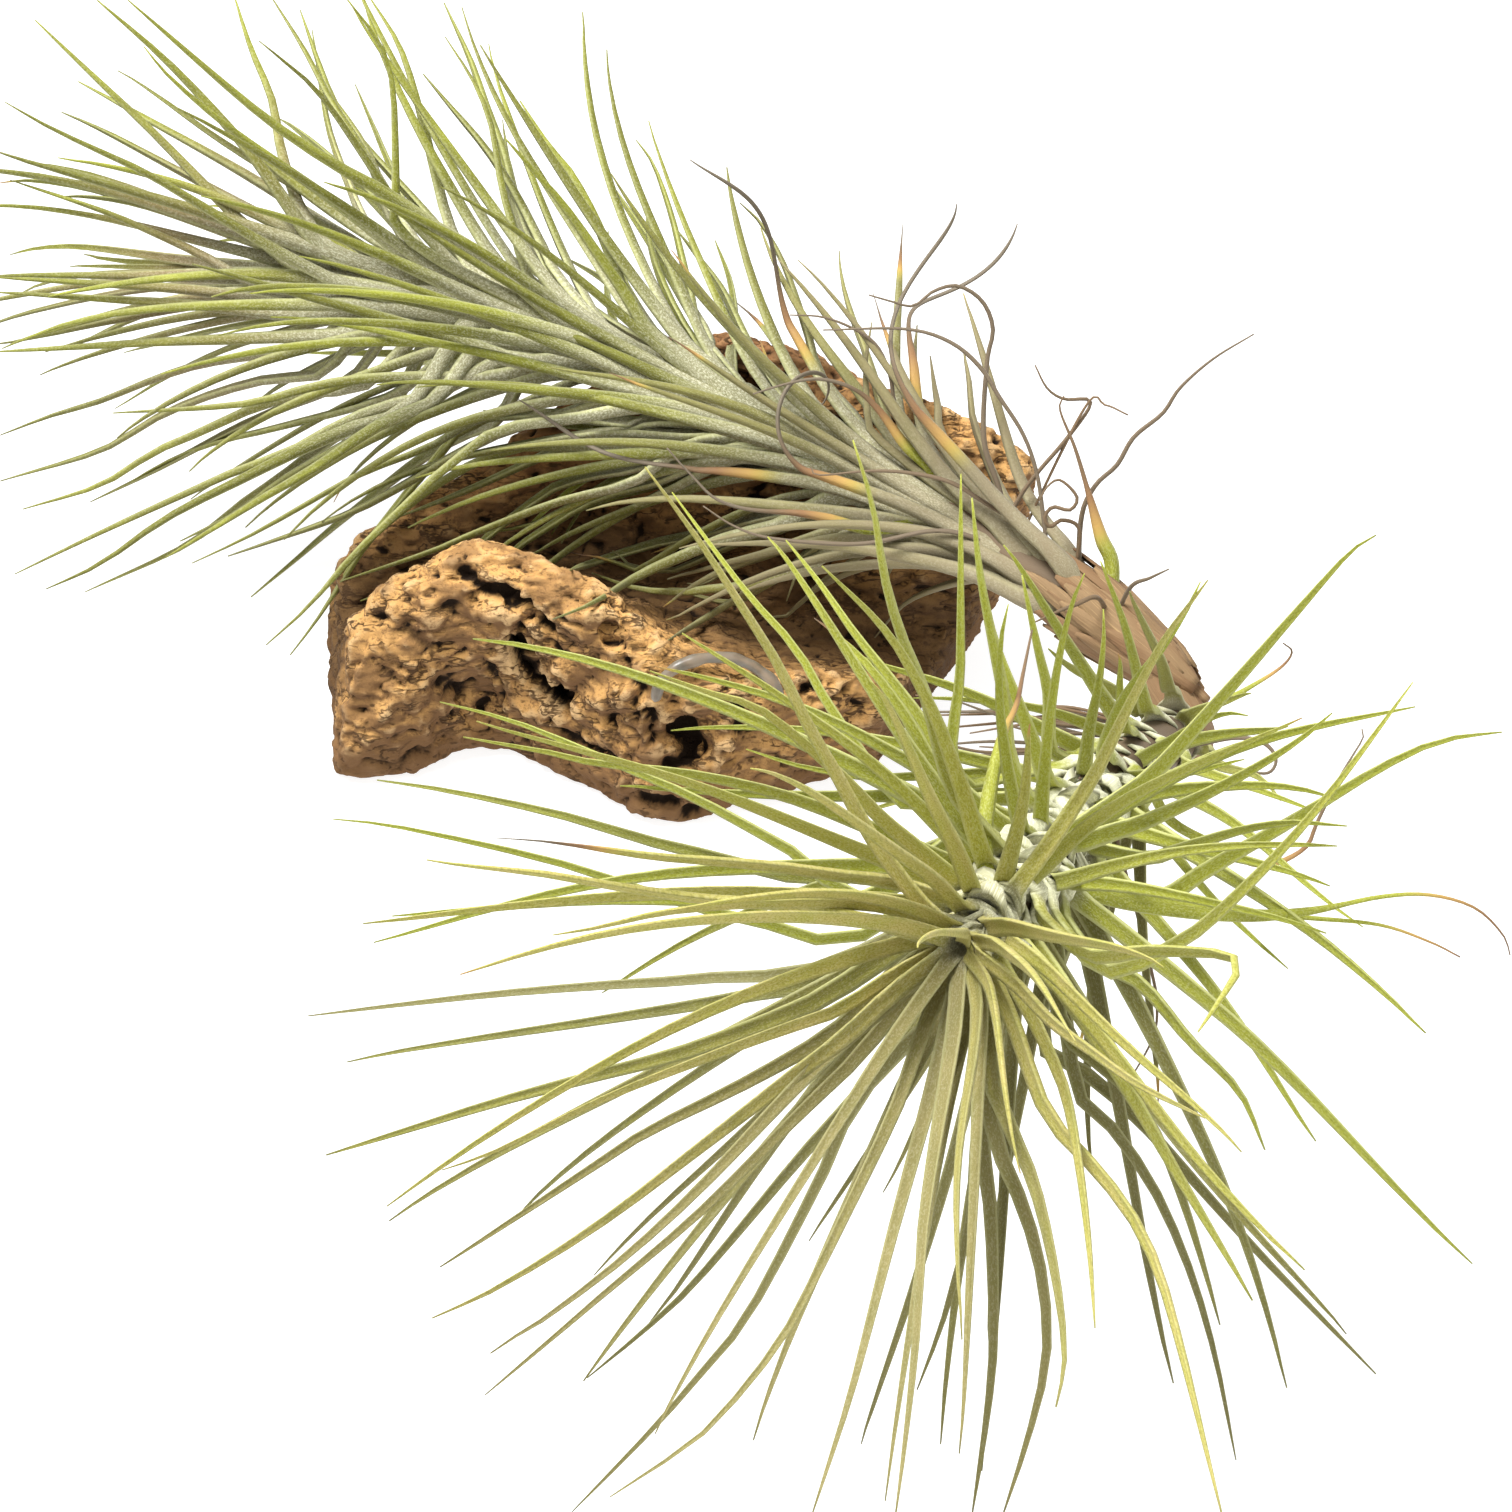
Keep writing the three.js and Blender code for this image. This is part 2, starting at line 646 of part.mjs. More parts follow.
// A three-sided blade along a leaf's line, flat towards the stem and keeled outside.
function bladeSolid({ points, outward, curl }) {
  const curve = new THREE.CatmullRomCurve3(points, false, "catmullrom", 0.5);
  const stations = BLADE_PROFILE.map(([place, width, thickness]) => ({
    centre: curve.getPointAt(place),
    way: curve.getTangentAt(place),
    width,
    thickness,
  }));
  curl.forEach((centre, k) => {
    const way = (curl[k + 1] ?? centre).clone().sub(curl[k - 1] ?? points.at(-1)).normalize();
    stations.push({ centre, way, width: CURL.thickness, thickness: CURL.thickness });
  });
  let keel = outward;
  const rings = stations.map(({ centre, way, width, thickness }) => {
    keel = keel.clone().projectOnPlane(way).normalize();
    const across = way.clone().cross(keel);
    const corner = (a, k) => centre.clone().addScaledVector(across, a).addScaledVector(keel, k);
    return [
      corner(-width / 2, -thickness / 3),
      corner(width / 2, -thickness / 3),
      corner(0, (2 * thickness) / 3),
    ];
  });
  return ringSolid(rings);
}

function stemTube(stem, axis, extra) {
  const steps = Array.from({ length: CORE_STEPS + 1 }, (_, k) => k / CORE_STEPS);
  const places = steps.map((step) => mix(stem.bare, axis.length, step));
  const radii = places.map((place) => stem.coreRadius * taper(axis, place, CORE_TAPER) + extra);
  return tube(places.map(axis.at), radii, STEM_SIDES);
}

function leafyStem(stem, axis) {
  let solid = stemTube(stem, axis, 0);
  for (let leaf = 0; leaf < stem.leaves; leaf += LEAF_STRIDE) {
    const line = leafLine(stem, axis, leaf);
    if (line) solid = solid.add(bladeSolid(line));
  }
  return solid;
}

// A pocket, hole or pad: a lumpy ball with the given half sizes.
function ball(centre, size, turn = 0) {
  const shape = new THREE.IcosahedronGeometry(1, 1).scale(...size);
  return toSolid(shape.rotateZ(degrees(turn)).translate(...centre));
}

// A crack: a wedge along the crack's line that reaches into the wood.
function crackSolid(line) {
  const points = line.map(toVector);
  const rings = points.map((p, k) => {
    const way = (points[k + 1] ?? p).clone().sub(points[k - 1] ?? p).normalize();
    const inward = toVector(CRACK_INWARD).projectOnPlane(way).normalize();
    const across = way.clone().cross(inward);
    const wide = CRACK_RADIUS * (k === 0 || k === points.length - 1 ? 0.5 : 1);
    const corner = (a, d) => p.clone().addScaledVector(across, a).addScaledVector(inward, d);
    return [corner(-wide, -CRACK_LIP), corner(wide, -CRACK_LIP), corner(0, CRACK_DEPTH)];
  });
  return ringSolid(rings);
}

function makeDriftwood() {
  const ground = new THREE.BoxGeometry(...GROUND_SIZE).translate(0, 0, -GROUND_SIZE[2] / 2);
  const cuts = [
    toSolid(ground),
    stemTube(LONG_STEM, longAxis, SEAT_ROOM),
    ball(PAD_CENTRE, PAD_SIZE.map((size) => size + GAP)),
    beadTube(BEAD_RADIUS + GAP),
    ...WOOD_PITS.map(({ centre, size, turn }) => ball(centre, size, turn)),
    ...CRACKS.map(crackSolid),
  ];
  return cuts.reduce((wood, cut) => wood.subtract(cut), ringSolid(woodRings.map(({ points }) => points)));
}

function makeGluePad() {
  return ball(PAD_CENTRE, PAD_SIZE).subtract(stemTube(LONG_STEM, longAxis, GAP));
}

function beadTube(radius) {
  const curve = new THREE.CatmullRomCurve3(beadPoints);
  const points = curve.getSpacedPoints(BEAD_STEPS);
  return tube(points, points.map(() => radius), BEAD_SIDES);
}

function makeDryBase() {
  const cone = tube(conePoints, BASE_CONE.map(([, radius]) => radius), STEM_SIDES);
  return cone.add(tube(shootPoints, SHOOT_RADII, STEM_SIDES));
}

const SKINS = {
  wood: { color: "#b38a5c", roughness: 0.9 },
  leaf: { color: "#a3b368", roughness: 0.7 },
  dry: { color: "#8a7357", roughness: 0.85 },
  glue: { color: "#d9d9d2", roughness: 0.25 },
};

function makeMesh(name, solid, skin) {
  const material = new THREE.MeshStandardMaterial({ ...SKINS[skin], metalness: 0 });
  const mesh = new THREE.Mesh(toGeometry(solid), material);
  mesh.name = name;
  return mesh;
}

const group = new THREE.Group();
group.add(makeMesh("driftwood", makeDriftwood(), "wood"));
group.add(makeMesh("long_stem", leafyStem(LONG_STEM, longAxis), "leaf"));
group.add(makeMesh("short_stem", leafyStem(SHORT_STEM, shortAxis), "leaf"));
group.add(makeMesh("dry_base", makeDryBase(), "dry"));
group.add(makeMesh("glue_pad", makeGluePad(), "glue"));
group.add(makeMesh("glue_bead", beadTube(BEAD_RADIUS), "glue"));

export default group;
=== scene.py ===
# %% [markdown]
# # Tillandsia funckiana on driftwood
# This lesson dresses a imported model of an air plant. Two leafy stems grow from one dry base, and the
# longer one lies in the hollow of a curled piece of driftwood. The frame holds the plain solids. Every
# visible piece is built here around them, in millimetres, and is turned into metres as it is made.

import math

import bpy
import numpy as np
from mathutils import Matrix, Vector, noise
from mathutils.bvhtree import BVHTree


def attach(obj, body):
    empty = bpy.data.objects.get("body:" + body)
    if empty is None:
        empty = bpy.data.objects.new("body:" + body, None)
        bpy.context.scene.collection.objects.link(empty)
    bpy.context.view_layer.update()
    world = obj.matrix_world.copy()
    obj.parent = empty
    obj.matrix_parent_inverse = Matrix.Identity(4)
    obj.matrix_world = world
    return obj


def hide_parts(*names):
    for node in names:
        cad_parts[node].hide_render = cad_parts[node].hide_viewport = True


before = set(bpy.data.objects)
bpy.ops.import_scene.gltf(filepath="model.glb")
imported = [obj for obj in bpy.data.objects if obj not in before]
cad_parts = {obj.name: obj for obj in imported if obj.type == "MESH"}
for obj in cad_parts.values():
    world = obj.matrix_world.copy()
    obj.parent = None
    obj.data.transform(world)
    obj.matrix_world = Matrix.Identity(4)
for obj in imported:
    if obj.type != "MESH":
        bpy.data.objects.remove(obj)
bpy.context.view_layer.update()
MM = 0.001
# Noise starts from the clock unless it gets a seed.
NOISE_SEED = 7
noise.seed_set(NOISE_SEED)
print("CAD nodes:", ", ".join(sorted(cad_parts)))

# %% [markdown]
# ## The camera
# The photograph looks down on the plant. The camera's distance and height are assumed, and its target
# is the middle of the image. A place in the photograph can be turned back into a place in the frame if
# its depth behind the target is known, which later seats blades and dry ends where they are seen.

# %% Camera
IMAGE_SIDE = 1512
FOCAL_PIXELS = 3240
CAMERA_HEIGHT = math.radians(48)
CAMERA_DISTANCE = 300
CAMERA_TARGET = Vector((7, -36, 27))
SENSOR_WIDTH = 36
NEAREST_SEEN = 10
LOOKING = Vector((0, math.cos(CAMERA_HEIGHT), -math.sin(CAMERA_HEIGHT)))
IMAGE_UP = Vector((0, math.sin(CAMERA_HEIGHT), math.cos(CAMERA_HEIGHT)))

camera_data = bpy.data.cameras.new("camera")
camera_data.sensor_width = SENSOR_WIDTH
camera_data.lens = SENSOR_WIDTH * FOCAL_PIXELS / IMAGE_SIDE
camera_data.clip_start = NEAREST_SEEN * MM
camera = bpy.data.objects.new("camera", camera_data)
camera.location = (CAMERA_TARGET - LOOKING * CAMERA_DISTANCE) * MM
camera.rotation_euler = LOOKING.to_track_quat("-Z", "Y").to_euler()
bpy.context.scene.collection.objects.link(camera)
bpy.context.scene.camera = camera


def seen_at(across, down, depth):
    """The place in the frame, in mm, of a pixel at a depth behind the camera's target."""
    scale = (CAMERA_DISTANCE + depth) / FOCAL_PIXELS
    right = Vector((1, 0, 0)) * (across - IMAGE_SIDE / 2) * scale
    up = IMAGE_UP * (IMAGE_SIDE / 2 - down) * scale
    return CAMERA_TARGET + right + up + LOOKING * depth


def seen_pixels(points):
    """The pixels at which places are seen, and their depths behind the camera's target."""
    away = np.array(points) - np.array(CAMERA_TARGET)
    depth = away @ np.array(LOOKING)
    scale = FOCAL_PIXELS / (CAMERA_DISTANCE + depth)
    across = IMAGE_SIDE / 2 + away[:, 0] * scale
    down = IMAGE_SIDE / 2 - away @ np.array(IMAGE_UP) * scale
    return np.stack([across, down], axis=1), depth


print("lens", round(camera_data.lens, 1), "mm")

# %% [markdown]
# ## Chance that repeats
# Plants need variety, and the result has to be the same on each run. A small whole-number hash gives
# every leaf its own draws, the same ones that the solids were grown with. The large odd numbers in it
# only stir the bits.

# %% Draws and blends
WORD = 0xFFFFFFFF


def draw(seed, item, channel):
    """A number from 0 to 1 that depends only on the three whole numbers given."""
    h = (seed * 374761393 + item * 668265263 + channel * 1103515245) & WORD
    h = ((h ^ (h >> 13)) * 1274126177) & WORD
    h = ((h ^ (h >> 15)) * 461845907) & WORD
    return (h ^ (h >> 16)) / (WORD + 1)


def mix(a, b, t):
    """a where t is 0, b where it is 1."""
    return a + (b - a) * t


def smooth(x, low, high):
    """0 below low, 1 above high, and a soft step between them."""
    t = np.clip((x - low) / (high - low), 0, 1)
    return t * t * (3 - 2 * t)


print("first draw", round(draw(11, 0, 0), 4))

# %% [markdown]
# ## Curves
# A Catmull-Rom curve passes through all its points, so a stem's path can be a few given points. It is sampled
# finely once, and then walked by length.

# %% Paths
CURVE_STEPS = 40
UP = Vector((0, 0, 1))


def smooth_path(points, steps=CURVE_STEPS):
    """A smooth curve through points, as many close points."""
    p = np.array(points, float)
    p = np.vstack([2 * p[0] - p[1], p, 2 * p[-1] - p[-2]])
    t = np.linspace(0, 1, steps, endpoint=False)[:, None]
    parts = []
    for before, a, b, after in zip(p, p[1:], p[2:], p[3:]):
        from_a = (2 * t**3 - 3 * t**2 + 1) * a + (t**3 - 2 * t**2 + t) * (b - before) / 2
        to_b = (3 * t**2 - 2 * t**3) * b + (t**3 - t**2) * (after - a) / 2
        parts.append(from_a + to_b)
    return np.vstack(parts + [p[-2:-1]])


def lengths_along(path):
    """The length of a path up to each of its points."""
    return np.concatenate([[0], np.cumsum(np.linalg.norm(np.diff(path, axis=0), axis=1))])


def points_at(path, places):
    """Points at shares from 0 to 1 of a path's length."""
    run = lengths_along(path)
    return np.stack([np.interp(np.array(places) * run[-1], run, column) for column in path.T], axis=1)


def line_distance(points, line):
    """Each point's distance from a line of straight pieces."""
    line = np.atleast_2d(np.array(line, float))
    nearest = np.full(len(points), np.inf)
    for a, b in zip(line, line[1:] if len(line) > 1 else line):
        step = b - a
        t = np.clip(((points - a) @ step) / max(step @ step, 1e-9), 0, 1)[:, None]
        nearest = np.minimum(nearest, np.linalg.norm(points - a - t * step, axis=1))
    return nearest


def rows(vectors):
    """Vectors as the rows of an array."""
    return np.array([tuple(v) for v in vectors])


def rotated(v, axis, angle):
    """v turned about a unit axis."""
    return v * math.cos(angle) + axis.cross(v) * math.sin(angle) + axis * axis.dot(v) * (1 - math.cos(angle))


class Axis:
    """A stem's middle line, walked by its length in mm."""

    def __init__(self, path):
        self.path = smooth_path(path)
        self.length = lengths_along(self.path)[-1]

    def at(self, distance):
        return Vector(points_at(self.path, [distance / self.length])[0])

    def along(self, distance):
        nearby = 0.3
        return (self.at(distance + nearby) - self.at(distance - nearby)).normalized()


def upward(forward):
    """The direction straight across a line that points most upwards."""
    return (UP - forward * forward.z).normalized()


# %% [markdown]
# ## The stems' rules
# The leaves of this plant stand in a golden-angle spiral. Each stem has one rule for all its leaves:
# how many, how long, how far they lean, and how that changes from the old base to the young tip.
# Lengths, widths and zones are in mm, leans in degrees, and a pair of numbers is a range. The two low shade
# values set how much painted shade the leaves that point down get.

# %% Stem values
GAP = 0.3
GOLDEN_ANGLE = 180 * (3 - math.sqrt(5))
LONG_STEM = {
    "seed": 11,
    "path": [
        (49.5, -29, 27), (43.5, -23.5, 28.3), (34.5, -14.5, 29.3), (21, -2.5, 29),
        (7.4, 7, 29.2), (-8.7, 14.3, 32.2), (-25, 20, 34.8), (-38, 22.8, 35.8),
    ],
    "bare": 14, "tip_left": 2, "core_radius": 3.3, "leaves": 196, "crowding": 1.15,
    "length": (42, 52), "old_length": 0.72, "young_length": 0.85,
    "sheath_lean": 9, "blade_lean": 34, "tip_lean": 54, "old_lean": 0.9, "young_lean": 0.3,
    "old_zone": 45, "young_zone": 30, "bend": (5, 16), "droop": 0.3, "shade": (0, 0),
    "faded": (4, 34), "blush": 1.0, "silver": (0.14, 0.62), "sheath": (2.5, 2.4, 2.1, 1.6), "bulge": 0,
    "girth": 1.14, "tone": (-0.2, 0.35), "low_shade_fade": 0.15, "low_shade_drop": 0.2,
}
SHORT_STEM = {
    "seed": 23,
    "path": [
        (46.2, -33.2, 27), (43.5, -39.5, 32), (39, -48.5, 39), (33.5, -60, 46.5),
        (28.3, -74.5, 56), (22.3, -90, 67.5),
    ],
    "bare": 0, "tip_left": 1, "core_radius": 3.2, "leaves": 140, "crowding": 1.5,
    "length": (46, 56), "old_length": 0.55, "young_length": 0.95,
    "sheath_lean": 14, "blade_lean": 64, "tip_lean": 80, "old_lean": 0.62, "young_lean": 0.33,
    "old_zone": 46, "young_zone": 22, "bend": (2.6, 7.5), "droop": 0.45, "shade": (0.15, 0.55),
    "faded": (-6, 10), "blush": 0.0, "silver": (0.05, 0.15), "sheath": (3.7, 3.5, 1.75, 1.5), "bulge": 0.75,
    "girth": 1.0, "tone": (0.4, 1.2), "low_shade_fade": 0.4, "low_shade_drop": 1.2,
}
long_axis = Axis(LONG_STEM["path"])
short_axis = Axis(SHORT_STEM["path"])
print("stems of", round(long_axis.length, 1), "and", round(short_axis.length, 1), "mm")

# %% [markdown]
# ## Room to grow
# Real leaves bend round what is in their way. Each growing tip asks how much room it has to the ground,
# the wood, the glue, the dry base and the other stem's leaves. The wood's distance comes from a tree of
# its faces, and the others from simple lines.

# %% Room
BASE_CONE_PLACES = (0, 1.6, 5, 9, 14 - GAP)
SHOOT_FROM = 8
SHOOT_STUB = 3.4
PAD_CENTRE = np.array((3, 10.8, 26.6))
PAD_SIZE = np.array((6.5, 2.8, 3.2))
BEAD_PATH = [
    (-3, -18.8, 15.9), (-2.3, -18, 18), (-0.4, -17, 19.2), (2.9, -15.8, 19.1),
    (6, -15.6, 18.1), (8.3, -16.6, 16.9), (9.6, -17.7, 15.4),
]
BEAD_RADIUS = 0.6
AXIS_STEPS = 40
RAY_WAY = Vector((0.03, 0.02, 1)).normalized()
RAY_GAP = 0.001
SLOPE_ROOM = 0.3
HALFWAY_SHIFT = 3
BASE_GIRTH = 3.6
LOOK_AHEAD = 3
AVOID_STRENGTH = 0.9
ROOM_TRIES = 4
ROOM_EXTRA = 0.05

cone_points = [long_axis.at(place) for place in BASE_CONE_PLACES]
shoot_points = [
    long_axis.at(SHOOT_FROM),
    short_axis.at(0) - short_axis.along(0) * SHOOT_STUB,
    short_axis.at(0) - short_axis.along(0) * GAP,
]
axis_lines = [points_at(axis.path, np.linspace(0, 1, AXIS_STEPS + 1)) for axis in (long_axis, short_axis)]
guides = [*axis_lines, np.array(cone_points), np.array(shoot_points), np.array(BEAD_PATH, float)]
guide_starts = np.vstack([g[:-1] for g in guides])
guide_steps = np.vstack([np.diff(g, axis=0) for g in guides])
guide_squares = (guide_steps**2).sum(1)
guide_firsts = np.cumsum([0] + [len(g) - 1 for g in guides])[:-1]

wood_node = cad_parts["driftwood"]
wood_tree = BVHTree.FromPolygons(
    [v.co / MM for v in wood_node.data.vertices], [tuple(f.vertices) for f in wood_node.data.polygons]
)


def in_wood(p):
    """True if a ray from the point leaves the driftwood once more than it enters it."""
    crossings = 0
    start = p
    hit = wood_tree.ray_cast(start, RAY_WAY)[0]
    while hit is not None:
        crossings += 1
        start = hit + RAY_WAY * RAY_GAP
        hit = wood_tree.ray_cast(start, RAY_WAY)[0]
    return crossings % 2 == 1


def wood_distance(p):
    """Distance from the driftwood in mm, negative inside."""
    nearest, normal, _, distance = wood_tree.find_nearest(p)
    if (p - nearest).dot(normal) < 0 and in_wood(p):
        return -distance
    return distance


def room(p, half_width, is_long):
    """Room left in mm at a point for a leaf of a half width."""
    here = np.array(p)
    away = here - guide_starts
    t = np.clip((away * guide_steps).sum(1) / guide_squares, 0, 1)[:, None]
    gaps = np.minimum.reduceat(np.sqrt(((away - t * guide_steps) ** 2).sum(1)), guide_firsts)
    to_long, to_short, to_cone, to_shoot, to_bead = gaps
    side = to_long - to_short + HALFWAY_SHIFT
    pad = (np.linalg.norm((here - PAD_CENTRE) / PAD_SIZE) - 1) * PAD_SIZE.min()
    return min(
        p.z, wood_distance(p) - SLOPE_ROOM, pad, to_bead - BEAD_RADIUS,
        min(to_cone, to_shoot) - BASE_GIRTH, (-side if is_long else side) / 2,
    ) - half_width - GAP


def room_way(p, half_width, is_long):
    """The direction in which the room grows fastest."""
    step = 0.2
    way = Vector()
    for k in range(3):
        move = Vector()
        move[k] = step
        way[k] = room(p + move, half_width, is_long) - room(p - move, half_width, is_long)
    return way.normalized()


def make_room(p, half_width, is_long):
    """Moves a point out of whatever it is too close to."""
    for _ in range(ROOM_TRIES):
        left = room(p, half_width, is_long)
        if left >= 0:
            break
        p += room_way(p, half_width, is_long) * (ROOM_EXTRA - left)
    return p


print("wood faces in the tree:", len(wood_node.data.polygons))

# %% [markdown]
# ## Growing one leaf
# A leaf starts inside the stem, hugs it as a sheath, leans out and droops a little. The line is grown
# in short steps, so it can turn away from an obstacle. Some old leaves of the long stem end in a curl.

# %% Leaf lines
LEAF_STEP = 1.5
SHADE_WAY = Vector((0.64, 0.57, 0.51))
SHADE_REACH = (-0.6, 0.7)
ROOT_DEPTH = 1.2
TURN_SPREAD = 30
SWEEP_SPREAD = 26
LEAN_SPREAD = (0.8, 1.2)
TIP_SHRINK = 0.45
TIP_ZONE = 9
FREE_STEPS = 3
LEAST_ROOM = -0.2
CURL_SEED = 1
CURL = {
    "every": 6, "zone": 30, "from": 0.62, "length": 20, "turns": 0.75, "rise": 0.25, "steps": 18, "room": 0.6,
}
PLAIN_WIDTHS = ((0, 0.09, 0.2, 0.4, 0.68, 1), (2.8, 2.5, 1.75, 1.4, 1.05, 0.62))


def by_age(stem, axis, place, what):
    """The factor on the length or lean of a leaf, for its place between old base and young tip."""
    from_base = smooth(place - stem["bare"], 0, stem["old_zone"])
    from_tip = smooth(axis.length - place, 0, stem["young_zone"])
    return mix(stem["old_" + what], 1, from_base) * mix(stem["young_" + what], 1, from_tip)


def curl_line(points, leaf):
    """A wiry curl that carries on from a leaf's tip and rises as it turns."""
    chance = [draw(LONG_STEM["seed"] + CURL_SEED, leaf, channel) for channel in range(4)]
    p = points[-1].copy()
    way = (p - points[-2]).normalized()
    spin = Vector((chance[0] - 0.5, chance[1] - 0.5, chance[2] - 0.5)).normalized()
    turn = (-1 if chance[3] < 0.5 else 1) * 2 * math.pi * CURL["turns"] / CURL["steps"]
    line = []
    for _ in range(CURL["steps"]):
        way = rotated(way, spin, turn)
        ahead = p + (way + UP * CURL["rise"]) * CURL["length"] / CURL["steps"]
        p = make_room(ahead, CURL["room"], True)
        line.append(p.copy())
    return line


def grow_leaf(stem, axis, leaf):
    """One leaf's line and facts, or None where it has no room."""
    is_long = stem is LONG_STEM
    chance = [draw(stem["seed"], leaf, channel) for channel in range(5)]
    rank = 1 - (1 - (leaf + 0.5) / stem["leaves"]) ** stem["crowding"]
    place = mix(stem["bare"] + 1, axis.length - stem["tip_left"], rank)
    forward = axis.along(place)
    turn = math.radians(GOLDEN_ANGLE * leaf + TURN_SPREAD * (chance[0] - 0.5))
    outward = rotated(upward(forward), forward, turn)
    sideways = forward.cross(outward)
    length = mix(*stem["length"], chance[1]) * by_age(stem, axis, place, "length")
    length *= 1 - float(smooth(outward.dot(SHADE_WAY), *SHADE_REACH)) * mix(*stem["shade"], chance[4])
    spread = mix(*LEAN_SPREAD, chance[2]) * by_age(stem, axis, place, "lean")
    blade, tip = stem["blade_lean"] * spread, stem["tip_lean"] * spread
    sweep = math.radians(SWEEP_SPREAD * (chance[3] - 0.5))
    skin = stem["core_radius"] * mix(TIP_SHRINK, 1, smooth(axis.length - place, 0, TIP_ZONE))
    p = axis.at(place) + outward * (skin - ROOT_DEPTH)
    points = [p.copy()]
    steps = round(length / LEAF_STEP)
    for n in range(1, steps + 1):
        s = n * LEAF_STEP
        share = s / length
        bent = mix(stem["sheath_lean"], blade, smooth(s, *stem["bend"]))
        lean = math.radians(bent + (tip - blade) * share**2)
        swing = sweep * smooth(s, stem["bend"][0], length)
        way = forward * math.cos(lean) + outward * math.sin(lean) * math.cos(swing)
        way += sideways * math.sin(lean) * math.sin(swing)
        way.z -= stem["droop"] * share**2
        half_width = np.interp(n / steps, *PLAIN_WIDTHS) / 2
        free = room(p, half_width, is_long)
        if free < LOOK_AHEAD:
            way += room_way(p, half_width, is_long) * AVOID_STRENGTH * (1 - max(free, 0) / LOOK_AHEAD)
        p = make_room(p + way.normalized() * LEAF_STEP, half_width, is_long)
        if n > FREE_STEPS and room(p, half_width, is_long) < LEAST_ROOM:
            return None
        points.append(p.copy())
    facts = {
        "leaf": leaf, "place": place, "outward": outward, "curled": False, "bare": False, "dry_from": None,
    }
    near_base = place < stem["bare"] + CURL["zone"]
    if is_long and leaf % CURL["every"] == 0 and near_base and outward.z > 0:
        points = points[: round(len(points) * CURL["from"])]
        points += curl_line(points, leaf)
        facts["curled"] = True
    facts["points"] = rows(points)
    return facts


def grow_stem(stem, axis):
    grown = [grow_leaf(stem, axis, leaf) for leaf in range(stem["leaves"])]
    return [facts for facts in grown if facts]


long_leaves = grow_stem(LONG_STEM, long_axis)
short_leaves = grow_stem(SHORT_STEM, short_axis)
print("leaves grown:", len(long_leaves), "and", len(short_leaves))

# %% [markdown]
# ## Blades led to where they are seen
# Half of the leaves stand where the solids have none, so they are free to lie where the photograph shows
# a blade. Each row holds a blade's pixels out to its tip, and the rows are grouped by the share of the
# blade at which it turns dry (over 1 for a green tip). A leaf keeps its own root and its own depths
# behind the camera's target. It only moves across the view, and where that would take it into the wood
# or the ground it comes nearer.

